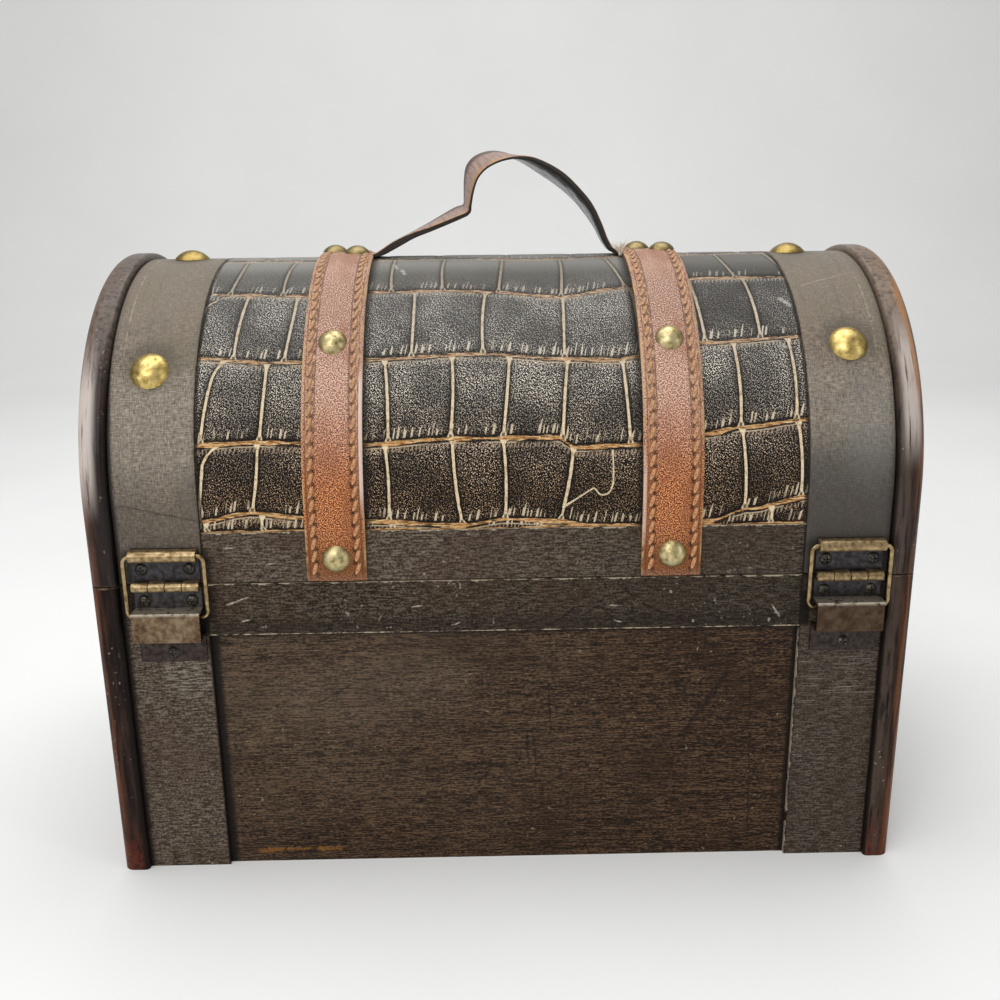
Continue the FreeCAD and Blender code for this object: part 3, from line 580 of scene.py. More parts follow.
def croc_look():
    """Reptile-embossed leather: pebbled black cells, gold row grooves, cream dividers, combed edges."""
    look = Look("embossed_leather", Specular_IOR_Level=0.12)
    flat = look.flat()
    across, along, _ = flat.parts()
    phase, row, _ = look.flat("cell").parts()
    width, height, _ = look.flat("size").parts()
    rise = 1 - abs(along) / (LEATHER_END / MM)   # 0 at the foot, 1 on the crown
    high = rise.fade(0.22, 0.6)
    waver = flat.noise(0.28, 3) - 0.5
    to_divider = phase.pingpong(0.5) * width + waver * 0.5
    above = row.fract() * height + waver * 0.9
    below = height - above
    to_row = above.least(below)

    pebble = flat.turned(0.6).noise((2.8, 1.7), 2, 0.6)
    patch = flat.noise(0.05, 3).fade(0.36, 0.62).level(0.45, 1)
    lit = (below / height).fade(0.85, 0.15).level(0.78, 1.1)
    lit = lit * to_divider.fade(1, 4).level(0.65, 1) * rise.fade(0.82, 0.66).level(0.3, 1)
    grown = pebble + rise.fade(0.14, 0.4).level(0, 0.035)
    speck = grown.fade(0.566, 0.604) * patch * lit * 0.95
    # The ground turns paler and greyer towards the crown, and the flecks greyer: painted sheen.
    base = rise.ramp((0.1, (0.0042, 0.0025, 0.0017)), (0.36, (0.0125, 0.011, 0.01)),
                     (0.58, (0.05, 0.0475, 0.043)), (0.7, (0.062, 0.059, 0.053)),
                     (0.79, (0.115, 0.11, 0.098)), (0.87, (0.25, 0.241, 0.219)))
    fleck = rise.ramp((0.1, (0.84, 0.56, 0.325)), (0.36, (1, 0.895, 0.755)),
                      (0.58, (0.74, 0.705, 0.64)), (0.85, (0.44, 0.425, 0.4)))
    look.colour = look.mix(speck, base, fleck)

    dusk = across.fade(42, 70) * rise.fade(0.42, 0.56)
    look.paint(dusk * 0.42, (0.021, 0.017, 0.014))

    slope = across - along * 0.2
    strokes = look.node("ShaderNodeCombineXYZ", {0: slope})
    comb = strokes.noise((0.8, 1, 1), 1, 0.5)
    comb_reach = strokes.noise((0.55, 1, 1), 2).level(-2, 11.5)
    cluster = flat.noise((0.075, 0.03), 2).fade(0.4, 0.48)
    teeth = (comb.fade(0.525, 0.57) * above.fade(1.3, 1.8) * cluster * (above < comb_reach)
             * pebble.fade(0.3, 0.42))
    beat = (slope * 4.5 + waver * 9).sine()
    ticks = beat.fade(0.1, 0.75) * below.between(1.7, 3.4, 0.5)
    shade = above.fade(3, 1.2).most(to_divider.fade(1.8, 0.8)).most(below.fade(2, 1.1))
    look.paint(shade * high.level(0.86, 0.42), (0.0065, 0.004, 0.0028))
    faint = rise.fade(0.6, 0.78)
    look.paint(teeth * faint.level(0.92, 0.4), look.mix(high, (0.7, 0.58, 0.41), (0.62, 0.56, 0.47)))
    look.paint(ticks * 0.62, look.mix(high, (0.46, 0.34, 0.23), (0.5, 0.45, 0.38)))
    hair = below.near(1.5, 0.42) * flat.noise((0.06, 0.03)).fade(0.42, 0.52)
    look.paint(hair * 0.85, (0.58, 0.46, 0.31))

    reach = to_row.fade(2.8, 0.7).level(0.56, 1.25)
    fork = above.fade(2.4, 1.4) * to_divider.fade(0.6, 0.3)
    divider = (to_divider / reach).fade(1.1, 0.78) * fork.level(1, 0.15)
    cream = look.mix(faint, look.mix(high, (0.84, 0.68, 0.45), (0.6, 0.515, 0.4)), (0.4, 0.355, 0.29))
    stained = flat.noise(0.5, 3, 0.7).fade(0.5, 0.36) * 0.7
    look.paint(divider * faint.level(0.96, 0.78), look.mix(stained, cream, (0.36, 0.23, 0.115)))
    swell = flat.noise((0.075, 0.02), 2).fade(0.34, 0.66)
    groove = (to_row / swell.level(0.4, 1.05)).fade(1.1, 0.8)
    split = flat.noise((0.16, 1.7), 4, 0.75).fade(0.53, 0.57)
    fibre = flat.noise((0.35, 1.6), 3, 0.7)
    gold = fibre.shades(0.12, (0.36, 0.13, 0.04), (0.64, 0.365, 0.14), (0.86, 0.65, 0.37))
    buff = fibre.shades(0.12, (0.28, 0.16, 0.09), (0.5, 0.345, 0.225), (0.69, 0.54, 0.4))
    tan = look.mix(split * 0.88, look.mix(high, gold, buff), (0.03, 0.014, 0.006))
    look.paint(groove * 0.96, tan)
    look.paint(marks(flat, LEATHER_RUBS, Y_AXIS) * 0.75, (0.52, 0.5, 0.46))
    # Painted shadow beside the straps' inner edges, and a dark line along the panel's sides.
    beside = strap_low.x / MM - abs(across)
    strap_shadow = beside.fade(4.2, 0.4) * beside.fade(-3, -1)
    rim = abs(across).fade(leather_side - 1.7, leather_side - 0.8)
    look.paint(strap_shadow.most(rim) * 0.82, (0.01, 0.0065, 0.005))
    lines = groove.most(divider)
    return look.finish(lines.level(0.46, 0.7), (1 - lines).bump(0.3, pebble.bump(0.55)))


def strap_look():
    """Reddish-brown leather, paler over the crown, with a sewn border, needle holes, a rubbed edge."""
    look = Look("strap_leather", Specular_IOR_Level=0.22)
    flat = look.flat()
    across, along, _ = flat.parts()
    grain = flat.stretch(1, 0.8, 1).noise(2.4, 2, 0.6)
    patch = flat.noise((0.07, 0.03), 3)
    low = grain.ramp((0.43, (0.082, 0.014, 0.0032)), (0.5, (0.27, 0.066, 0.015)),
                     (0.56, (0.86, 0.37, 0.15)))
    top = grain.shades(0.07, (0.192, 0.084, 0.056), (0.41, 0.226, 0.16), (0.72, 0.485, 0.38))
    length = abs(along)
    dulled = grain.shades(0.08, (0.14, 0.064, 0.043), (0.305, 0.172, 0.122), (0.58, 0.4, 0.315))
    rubbed = grain.shades(0.08, (0.25, 0.114, 0.072), (0.53, 0.3, 0.205), (0.9, 0.62, 0.47))
    top = look.mix(length.between(34, 62, 9) * 0.62, top, dulled)
    top = look.mix(length.between(76, 98, 8) * 0.35, top, rubbed)
    # Paler and pinker over the crown: painted sheen.
    crown = length.fade(*STRAP_CROWN)
    look.colour = look.mix(crown, low, top)
    look.paint(patch.fade(0.46, 0.66) * 0.45, (0.235, 0.075, 0.028))
    foot = length.fade(STRAP_END / MM - 20, STRAP_END / MM - 6)
    look.paint(foot * 0.72, (0.125, 0.042, 0.009))
    inset = STRAP_HALF / MM - abs(across)
    sewn = inset.between(0.9, 4.6, 0.3) * grain.level(0.95, 0.15)
    streak = flat.noise((1.5, 0.32), 3, 0.65)
    border = streak.shades(0.1, (0.15, 0.05, 0.016), (0.385, 0.18, 0.078), (0.7, 0.47, 0.3))
    look.paint(sewn, look.mix(crown, (0.235, 0.082, 0.028), border))
    lines = (inset.near(4.75, 0.5) * crown).most(inset.near(1.35, 0.4) * 0.7)
    lines = lines * flat.noise((0.6, 0.25), 3, 0.7).fade(0.3, 0.5)
    beat = ((along + STRAP_END / MM) / (STITCH_PITCH / MM)).pingpong(0.5)
    to_hole = (0.5 - beat) * (STITCH_PITCH / MM)
    holes = to_hole.fade(1.35, 0.7) * inset.near(4, 1.2)
    look.paint(lines.most(holes) * crown.level(0.88, 0.66), (0.026, 0.008, 0.0032))
    x = look.place().parts()[0]
    zone = look.mix(x.fade(-10, 10), length.between(80, 126, 7), length.between(112, 140, 7) * 0.5)
    # Pale cream edge on the inner side, part way down: rubbed leather and painted highlight.
    raw_and_highlight = zone * inset.fade(1.5, 0.9) * (across * x < 0)
    frayed = inset.fade(0.8, 0.35) * flat.noise(0.12, 4, 0.7).fade(0.42, 0.58)
    look.paint(frayed * 0.85, (0.58, 0.37, 0.165))
    look.paint(raw_and_highlight * 0.9, (0.8, 0.64, 0.565))
    end = length.fade(STRAP_END / MM - 3.6, STRAP_END / MM - 0.5) * grain.fade(0.44, 0.58)
    look.paint(end * 0.4, (0.5, 0.3, 0.22))
    return look.finish(grain.level(0.62, 0.46), grain.bump(0.36))


def edge_look(name, dark, light):
    """Rough surface in two shades: cut leather, torn fibres, rust."""
    look = Look(name)
    place = look.place()
    fibre = place.noise(1.3, 4, 0.7)
    look.colour = fibre.shades(0.2, dark, light)
    return look.finish(fibre.level(0.8, 0.6), fibre.bump(0.2))


def strap_side_look():
    """Cut strap side: brown, pale cream on the lid's shoulder, rubbed leather and painted highlight."""
    look = Look("strap_cut_edge")
    place = look.place()
    z = place.parts()[2]
    fibre = place.noise(1.3, 4, 0.7)
    brown = fibre.shades(0.15, (0.13, 0.055, 0.018), (0.46, 0.28, 0.125))
    raw_and_highlight = fibre.shades(0.15, (0.52, 0.39, 0.29), (0.8, 0.68, 0.57))
    wear_and_sheen = z.between(154, 198, 9) * place.noise(0.1, 3).fade(0.24, 0.42)
    look.colour = look.mix(wear_and_sheen, brown, raw_and_highlight)
    return look.finish(fibre.level(0.8, 0.6), fibre.bump(0.2))


def thread_look():
    """Waxed thread: twisted strands, darker where it goes into the leather."""
    look = Look("stitch_thread", Specular_IOR_Level=0.25)
    strand = look.flat("strand")
    section = strand.parts()[1]
    along = look.flat().parts()[1]
    twist = strand.noise((5, 16, 1), 2)
    low = twist.shades(0.14, (0.3, 0.105, 0.034), (0.78, 0.44, 0.23))
    top = twist.shades(0.14, (0.3, 0.135, 0.056), (0.62, 0.4, 0.245))
    look.colour = look.mix(abs(along).fade(*STRAP_CROWN), low, top)
    end = abs(section - 0.5).fade(0.3, 0.5)
    look.paint(end, (0.04, 0.015, 0.006))
    return look.finish(twist.level(0.6, 0.45), twist.bump(0.12))


def carry_look():
    """Outer face of the carry strap: smooth brown, creased across, golden along its near edge."""
    look = Look("carry_brown", Coat_Weight=0.12, Coat_Roughness=0.35, Specular_IOR_Level=0.35)
    flat = look.flat()
    across = flat.parts()[0]
    grain = flat.stretch(1.1, 0.7, 1).noise(1.5, 4, 0.6)
    crease = flat.noise((0.1, 0.7), 4, 0.7)
    tone = grain * 0.5 + crease * 0.5
    look.colour = tone.shades(0.12, (0.15, 0.092, 0.07), (0.285, 0.195, 0.16), (0.4, 0.295, 0.245))
    edge = CARRY_HALF / MM
    gold = across.fade(2.6 - edge, 0.8 - edge) * crease.fade(0.36, 0.56)
    look.paint(gold * 0.85, (0.4, 0.205, 0.075))
    look.paint(across.fade(edge - 6, edge - 2.6) * 0.85, (0.055, 0.03, 0.022))
    return look.finish(grain.level(0.55, 0.4), tone.bump(0.16))


def carry_under_look():
    """Back of the carry strap: black by its near edge, rubbed to a grey sheen beyond."""
    look = Look("carry_black", Specular_IOR_Level=0.6)
    flat = look.flat()
    across = flat.parts()[0]
    streaks = flat.noise((0.45, 0.12), 4, 0.65)
    sheen = (across + streaks.level(-7, 7)).fade(-5, 1.5) * streaks.fade(0.26, 0.46)
    grey = streaks.shades(0.1, (0.085, 0.087, 0.096), (0.3, 0.305, 0.325))
    look.colour = look.mix(sheen, (0.009, 0.0078, 0.008), grey)
    return look.finish(sheen.level(0.9, 0.24), streaks.bump(0.08))


def brass_look(name, bright, dull, stain, roughness):
    """Aged brass: cloudy patina, shallow dents, stained round a dome's rim; crown in painted shade."""
    look = Look(name, Metallic=1)
    place = look.place()
    _, y, z = place.parts()
    cloud = place.noise(0.5, 4, 0.6)
    dents = place.noise(0.4, 2)
    look.colour = cloud.ramp((0.28, stain), (0.44, dull), (0.6, bright))
    # Darker near the lid's crown: painted shade, in the stain colour.
    look.paint(z.fade(crown_z - 4, crown_z) * 0.72, stain)
    up = (z - spring_z).most(0)
    outward = look.node("ShaderNodeCombineXYZ", {1: y, 2: up}).vector("NORMALIZE")
    rim = look.node("ShaderNodeTexCoord", {}, "Normal").dot(outward).fade(0.82, 0.4)
    look.paint(rim * 0.7, stain)
    return look.finish(cloud.level(roughness + 0.1, roughness - 0.06), dents.bump(0.12))


def leaf_look():
    """Stay-hinge sheet: dark bronzed flats, brass on the rolled knuckles, mottled on the channel."""
    look = Look("hinge_sheet", Metallic=0.85)
    place = look.place()
    x, y, z = place.parts()
    raised = (abs(y) - rail_face).fade(1.05, 1.4)
    mottle = place.noise(0.5, 4, 0.6)
    clouds = place.noise(0.22, 3)
    flats = mottle.shades(0.15, (0.02, 0.018, 0.019), (0.068, 0.063, 0.066))
    brass = mottle.shades(0.14, (0.17, 0.112, 0.052), (0.315, 0.222, 0.112), (0.46, 0.345, 0.19))
    mixed = mottle * 0.45 + clouds * 0.55
    bronze = mixed.shades(0.1, (0.09, 0.052, 0.028), (0.175, 0.116, 0.068), (0.275, 0.198, 0.122))
    # Darker bronze on the right hinge.
    right_darker = x.fade(-10, 10).level(0.12, 0.74)
    bronze = look.mix(right_darker, bronze, (0.034, 0.018, 0.01))
    channel = z.fade(channel_top + 1, channel_top + 0.2)
    lowest = z.fade(channel_top - 8, channel_top - 12)
    umber = mottle.shades(0.15, (0.02, 0.013, 0.0105), (0.06, 0.043, 0.036))
    flats = look.mix(lowest * 0.8, flats, umber)
    look.colour = look.mix(raised, flats, look.mix(channel, brass, bronze))
    lip = raised * z.near(channel_top, 1.6) * mottle.fade(0.3, 0.5)
    look.paint(lip * 0.85, (0.56, 0.5, 0.4))
    return look.finish(mottle.level(0.5, 0.3), mottle.bump(0.1))


def screw_look():
    """Dark plated screws with rubbed crowns."""
    look = Look("screw_plating", Metallic=0.8)
    place = look.place()
    mottle = place.noise(1.2, 4, 0.7)
    look.colour = mottle.ramp((0.35, (0.018, 0.016, 0.015)), (0.55, (0.06, 0.053, 0.047)),
                              (0.7, (0.26, 0.225, 0.18)))
    return look.finish(mottle.level(0.5, 0.32), mottle.bump(0.1))


def plywood_look():
    """Stained inside of the lid: long rotary grain with pores."""
    look = Look("lid_plywood")
    place = look.place()
    grain = place.noise((0.02, 0.35, 0.35), 5, 0.6)
    pores = place.noise((0.25, 3, 3), 2)
    look.colour = grain.ramp((0.34, (0.06, 0.032, 0.019)), (0.52, (0.115, 0.066, 0.039)),
                             (0.7, (0.175, 0.108, 0.066)))
    look.paint(pores.fade(0.62, 0.7) * 0.6, (0.035, 0.019, 0.012))
    return look.finish(grain.level(0.7, 0.55), pores.bump(0.12))


# Straps over the lid, with slanted stitches along both edges
STRAP_HALF = (strap_high.x - strap_low.x) / 2
STRAP_END = lid_end(strap_low.z)
STRAP_STATIONS = 220
# Columns of points on half a strap, in millimetres in from its edge
STRAP_INSETS = [0, 0.25, 0.7, 1.3, 2, 2.6, 3, 3.4, 4, 4.8, 6.5, STRAP_HALF / MM]
EDGE_WAVER = 0.22 * MM
EDGE_DROP, EDGE_REACH = 0.7 * MM, 1.3 * MM   # rounding of the long edges
END_DROP, END_REACH = 0.5 * MM, 1.4 * MM   # rounding of the cut ends
CHANNEL_DEPTH, CHANNEL_REACH = 0.38 * MM, 1.25 * MM   # channel under the stitches
PAD_RISE, PAD_REACH = 0.1 * MM, 6 * MM   # padding of the middle
STITCH_INSET = 3 * MM
STITCH_LENGTH = 5.5 * MM
STITCH_PITCH = 4.75 * MM
STITCH_THICK = 0.78 * MM
STITCH_LIFT = 0.28 * MM
STITCH_SINK = 0.55 * MM
STITCH_SLANT = math.radians(17)
STITCH_SHIFT, STITCH_TILT = 0.15, 0.07   # unevenness of hand sewing: millimetres, radians
STITCH_SECTIONS = 8


def ring(sides):
    """Angles once around, the last one closing on the first."""
    return spread(0, 2 * math.pi, sides)


def rounded(drop, distance, reach):
    """How far a rounded edge has dropped at a distance in from it."""
    return drop * max(0.0, 1 - distance / reach) ** 2


def strap_lift(inset):
    """Height of a strap's face over the leather, from its distance in from the edge."""
    channel = CHANNEL_DEPTH * math.exp(-((inset - STITCH_INSET) / CHANNEL_REACH) ** 2)
    pad = PAD_RISE * min(1.0, inset / PAD_REACH)
    return STRAP_THICKNESS - rounded(EDGE_DROP, inset, EDGE_REACH) - channel + pad


def lid_strap(side, centre, leather, edge):
    """One strap as a sheet bent over the lid: face, two sides and two cut ends."""
    rng = random.Random(side)
    sway = [(rng.uniform(0.015, 0.05), rng.uniform(0, 2 * math.pi)) for _ in range(4)]
    offsets = [inset * MM - STRAP_HALF for inset in STRAP_INSETS]
    offsets += [-offset for offset in reversed(offsets[:-1])]
    lifts = [strap_lift(STRAP_HALF - abs(offset)) for offset in offsets]
    stations = spread(-STRAP_END, STRAP_END, STRAP_STATIONS)
    face, face_map = [], []
    for along in stations:
        shift = EDGE_WAVER * sum(math.sin(along / pitch + start) for pitch, start in sway) / 2
        end_drop = rounded(END_DROP, STRAP_END - abs(along), END_REACH)
        face.append([lid_point(centre + offset + shift, along, lift - end_drop)
                     for offset, lift in zip(offsets, lifts)])
        face_map.append([(offset / MM, along / MM) for offset in offsets])
    strap = Builder()
    strap.grid(face, flat=face_map)
    for column, flip in ((0, True), (-1, False)):
        side_rows = []
        for along, row in zip(stations, face):
            foot = lid_point(row[column].x, along, 0)
            side_rows.append([row[column], row[column].lerp(foot, 0.5), foot])
        strap.grid(side_rows, slot=1, flip=flip)
    for row, along, flip in ((face[0], -STRAP_END, False), (face[-1], STRAP_END, True)):
        strap.grid([row, [lid_point(point.x, along, 0) for point in row]], slot=1, flip=flip)
    piece = strap.finish(f"{side}_strap_leather", [leather, edge])
    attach(piece, "lid")
    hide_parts(f"lid_{side}_strap")


def stitch(sewing, centre, offset, middle, slant):
    """One stitch: a tapered strand whose ends sink into the leather."""
    turns = ring(8)
    rows, strand = [], []
    for section in spread(0, 1, STITCH_SECTIONS):
        reach = (section - 0.5) * STITCH_LENGTH
        girth = STITCH_THICK * math.sin(math.pi * (0.08 + 0.84 * section)) ** 0.6
        x = centre + offset + reach * math.sin(slant)
        along = middle + reach * math.cos(slant)
        lift = strap_lift(STITCH_INSET) + STITCH_LIFT - STITCH_SINK * (2 * section - 1) ** 4
        rows.append([lid_point(x + girth * math.cos(turn), along, lift + girth * 0.8 * math.sin(turn))
                     for turn in turns])
        strand.append([(turn / (2 * math.pi), section) for turn in turns])
    sewing.grid(rows, strand=strand, flat=[[(offset / MM, middle / MM)] * len(turns)] * len(rows))


def stitches(side, centre, thread):
    """Slanted stitches in the two sewn channels of a strap."""
    rng = random.Random(side + "thread")
    sewing = Builder()
    for edge in (-1, 1):
        offset = edge * (STRAP_HALF - STITCH_INSET)
        for k in range(1, int(2 * STRAP_END / STITCH_PITCH)):
            middle = STITCH_PITCH * k - STRAP_END + rng.uniform(-STITCH_SHIFT, STITCH_SHIFT) * MM
            slant = STITCH_SLANT + rng.uniform(-STITCH_TILT, STITCH_TILT)
            stitch(sewing, centre, offset, middle, slant)
    piece = sewing.finish(f"{side}_strap_stitches", [thread])
    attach(piece, "lid")


# Linen bands beside the rims
BAND_END = lid_end(band_low.z)
BAND_GAP = 0.25 * MM
BAND_TURNED = 0.35 * MM
BAND_STATIONS = 150


def lid_band(side, sign, linen):
    """One band as a sheet over the lid, its long edges turned down to the plywood."""
    low = band_low.x + BAND_GAP
    high = band_high.x - BAND_GAP
    columns = [(low, -SKIN), (low, -BAND_TURNED), (low + BAND_TURNED, 0)]
    columns += [(x, 0) for x in spread(low + 2 * MM, high - 2 * MM, 6)]
    columns += [(high - BAND_TURNED, 0), (high, -BAND_TURNED), (high, -SKIN)]
    rows, flat = [], []
    for along in spread(-BAND_END, BAND_END, BAND_STATIONS):
        rows.append([lid_point(sign * x, along, lift) for x, lift in columns])
        flat.append([(sign * x / MM, along / MM) for x, _ in columns])
    band = Builder()
    band.grid(rows, flip=sign < 0, flat=flat)
    piece = band.finish(f"{side}_band_linen", [linen])
    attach(piece, "lid")
    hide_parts(f"lid_{side}_band")


# Embossed leather between the bands
# Row grooves from the back up and over, in millimetres: points of (x, distance along from the crown)
ROW_LINES = [
    [(-109, -132.6), (-91, -129.7), (-72, -131.6), (-50, -133.4), (-15, -135.3), (1, -133.4),
     (20, -134.4), (30, -136.4), (66, -136.4), (73, -135.4), (88, -130.9), (109, -126.8)],
    [(-109, -105), (-89, -104.2), (-49, -105.6), (-19, -103.9), (19, -103.9), (26, -107.6),
     (49, -107), (72, -103.5), (85, -101.4), (109, -98.8)],
    [(-109, -72.6), (-83, -74.8), (-50, -74.1), (-8, -72.3), (22, -74.8), (40, -75.5), (49, -74.4),
     (72, -69), (109, -66.8)],
    [(-109, -41.2), (-74, -42.7), (-50, -41.2), (-21, -40.5), (-4, -41.9), (22, -45.3), (48, -40.1),
     (71, -34.5), (109, -33.8)],
    [(-109, -9.5), (-60, -11), (-20, -8.5), (15, -12), (52, -8), (109, -3.5)],
    [(-109, 21.5), (-64, 20), (-12, 23), (34, 19.5), (76, 25), (109, 27)],
    [(-109, 53), (-55, 55), (-5, 52), (41, 54.5), (85, 58), (109, 57)],
    [(-109, 84.5), (-70, 82.5), (-22, 86), (28, 83), (74, 87.5), (109, 89)],
    [(-109, 113), (-58, 115.5), (-8, 112.5), (46, 116), (109, 119)],
]
# Dividers between the cells of each row, in millimetres: (x at the lower groove, x at the upper one),
# and for a cell with a rounded corner, how far the divider bends off near the upper groove
DIVIDERS = [
    [(-86, -86), (-40, -40), (12, 12), (60, 60), (96, 96)],
    [(-109.4, -106, 6), (-90, -87), (-65, -64), (-41.3, -42), (-14.8, -17.9), (0.4, 0), (20.2, 24.9),
     (63, 62), (86.4, 85)],
    [(-107, -101.5, 2.5), (-86.3, -84), (-62, -62), (-40.8, -42), (-18.8, -17.9), (0, 2.8),
     (21.3, 23.7), (45.3, 43.3), (65, 64), (84.5, 83.8)],
    [(-109.6, -107.5, 10), (-96.2, -93.4), (-78.2, -75.2), (-55, -54), (-32.5, -31.8), (-6.6, -5.3),
     (22.6, 23.4), (50, 49), (73.9, 71.6), (94.1, 92.2)],
    [(-101, -99), (-81, -79.5), (-61, -60), (-40.7, -40.8), (-21.4, -21.1), (-0.6, 1.6), (22.7, 24),
     (47.4, 41.5), (68, 66), (90, 86.5)],
    [(-92, -94), (-69, -68), (-45, -46), (-24, -22), (4, 3), (29, 31), (52, 50), (77, 79), (98, 97)],
    [(-100, -98), (-79, -80), (-52, -53), (-33, -31), (-9, -10), (17, 16), (39, 41), (64, 62),
     (88, 90)],
    [(-95, -93), (-71, -73), (-47, -46), (-20, -21), (6, 8), (27, 26), (51, 53), (74, 72), (99, 100)],
    [(-103, -101), (-83, -85), (-58, -57), (-36, -38), (-13, -11), (12, 13), (36, 34), (60, 62),
     (84, 83)],
    [(-90, -91), (-66, -64), (-42, -43), (-17, -16), (9, 7), (33, 34), (56, 55), (80, 82),
     (101, 100)],
]
# A crease across one cell, in millimetres: (x, distance along)
CREASE = [
    (38.8, -108.6), (39, -114), (38.9, -120.5), (37.4, -124), (34.5, -124.6), (32.4, -122.4),
    (30.8, -122.9), (26, -126), (21, -129.4),
]
# Its section: (share of the half width, lift in millimetres)
CREASE_SECTION = [(-1, -0.3), (-0.5, 0.3), (0, 0.4), (0.5, 0.3), (1, -0.3)]
CREASE_HALF = 0.58 * MM
LEATHER_END = lid_end(leather_low.z)
LEATHER_GAP = 0.3 * MM
PANEL_COLUMNS = 270
CELL_FRACTIONS = [0, 0.02, 0.05, 0.1, 0.18, 0.3, 0.45, 0.6, 0.75, 0.86, 0.93, 0.97, 1]
CELL_PUFF = 0.8 * MM
GROOVE_SINK = 0.6     # share of the puff that lies below the plain lid
CORNER_START = 0.72   # share of the row's height where a rounded corner starts
# The next five in millimetres
DIVIDER_BOW = 0.8
DIVIDER_SHOULDER = 3
GROOVE_SHOULDER = 3.5
FLAT_CROWN = 42       # cells are flatter within this distance of the crown
OUTER_CELL = 20       # width of the cells cut off by the panel's sides


def cell_phase(dividers, x, t):
    """Running count of dividers at x, and the width of the cell there; t is 0 at the lower groove."""
    corner = max(0.0, (t - CORNER_START) / (1 - CORNER_START)) ** 2
    lines = []
    for low, high, *bend in dividers:
        bow = DIVIDER_BOW * math.sin(2.3 * low + high)
        lines.append(low + (high - low) * t + bow * 4 * t * (1 - t) + sum(bend) * corner)
    lines = [lines[0] - OUTER_CELL, *lines, lines[-1] + OUTER_CELL]
    k = sum(x > line for line in lines[1:-1])
    width = lines[k + 1] - lines[k]
    return k + (x - lines[k]) / width, width


def panel_line(k, lower, upper, t, columns):
    """Points across row k of the cells at height t, with their values in the three surface maps."""
    line = []
    for x in columns:
        low = max(follow(lower, x / MM), -LEATHER_END / MM)
        high = max(follow(upper, x / MM), low + 0.3)
        along = low + (high - low) * t
        phase, width = cell_phase(DIVIDERS[k], x / MM, t)
        to_divider = abs(phase - round(phase)) * width
        to_row = min(t, 1 - t) * (high - low)
        puff = (min(1, to_divider / DIVIDER_SHOULDER) * min(1, to_row / GROOVE_SHOULDER)) ** 0.5
        plump = CELL_PUFF * (0.25 + 0.75 * min(1, abs(along) / FLAT_CROWN))
        inside = min(max(t, 0.0005), 0.9995)
        line.append((lid_point(x, along * MM, plump * (puff - GROOVE_SINK)), (x / MM, along),
                     (phase, k + inside), (width, high - low)))
    return zip(*line)


def embossed_panel(leather):
    """The panel as rows of puffed cells between the grooves, each row with its own map of cells."""
    half = leather_high.x - LEATHER_GAP
    columns = spread(-half, half, PANEL_COLUMNS)
    end = LEATHER_END / MM
    lines = [[(0, -end)], *ROW_LINES, [(0, end)]]
    panel = Builder()
    for k, (lower, upper) in enumerate(zip(lines, lines[1:])):
        rows, flat, cell, size = zip(*(panel_line(k, lower, upper, t, columns) for t in CELL_FRACTIONS))
        panel.grid(rows, flat=flat, cell=cell, size=size)
        for column, flip in ((0, True), (-1, False)):
            skirt = [[row[column], lid_point(row[column].x, places[column][1] * MM, -SKIN)]
                     for row, places in zip(rows, flat)]
            panel.grid(skirt, flip=flip, flat=[[places[column]] * 2 for places in flat],
                       cell=[[(0.5, k + 0.5)] * 2] * len(rows), size=[[(20, 30)] * 2] * len(rows))
    piece = panel.finish("embossed_leather_panel", [leather])
    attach(piece, "lid")
    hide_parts("lid_leather_panel")


def leather_crease(material):
    """Thin raised crease that runs across one cell."""
    run = smooth_run([Vector((x * MM, along * MM, 0)) for x, along in CREASE], 6)
    rows = []
    for k, point in enumerate(run):
        ahead = run[min(k + 1, len(run) - 1)] - run[max(k - 1, 0)]
        aside = Vector((-ahead.y, ahead.x, 0)).normalized() * CREASE_HALF
        rows.append([lid_point(point.x + aside.x * share, point.y + aside.y * share, lift * MM)
                     for share, lift in CREASE_SECTION])
    crease = Builder()
    crease.grid(rows, flip=True)
    piece = crease.finish("leather_crease", [material])
    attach(piece, "lid")


# Carry strap, in millimetres from the leather's crown: near edge and far edge as (x, rise), thickness
CARRY_EDGES = [
    ((-52, 0.9), (-52, 0.7), 1), ((-48, 1.5), (-48, 0.9), 2), ((-40.7, 5.4), (-41.5, 4.6), 3),
    ((-33.5, 8.8), (-34.5, 8.4), 2.5), ((-26.3, 11.2), (-27.6, 12.2), 2.2),
    ((-15.6, 15.3), (-17.6, 17.8), 2.1), ((-11.6, 17.2), (-13.4, 19.6), 1.8),
    ((-10.8, 20.2), (-13, 23), 1.5), ((-9.6, 25.6), (-12.9, 29.4), 1.4),
    ((-7.4, 30.8), (-11.8, 35.2), 1.4), ((-3, 34.8), (-7.6, 39), 1.4), ((4, 37.4), (-0.4, 40.2), 1.4),
    ((11.4, 37.8), (9, 37.2), 1.6), ((18, 35.8), (16.4, 32.8), 1.8), ((25.6, 31.4), (24.2, 27.8), 2),
    ((32, 25.4), (31.4, 21.8), 2), ((36.8, 19.6), (36.4, 16), 2), ((40.4, 12.6), (40.2, 10.6), 2),
    ((43.4, 5.4), (43.6, 4.6), 2), ((46.6, 1.6), (46.8, 1.4), 1.8), ((52, 0.9), (52, 0.7), 1),
]
CARRY_STEPS = 7
CARRY_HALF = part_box("carry_strap")[1].y
CARRY_FRACTIONS = [0, 0.03, 0.08, 0.16, 0.3, 0.5, 0.7, 0.84, 0.92, 0.97, 1]
CARRY_DROP, CARRY_REACH = 0.35 * MM, 0.9 * MM   # rounding of its edges


def carry_edge(points, y):
    """Smooth line along one edge of the carry strap."""
    line = [Vector((x * MM, y, LEATHER_TOP + rise * MM)) for x, rise in points]
    return smooth_run(line, CARRY_STEPS)


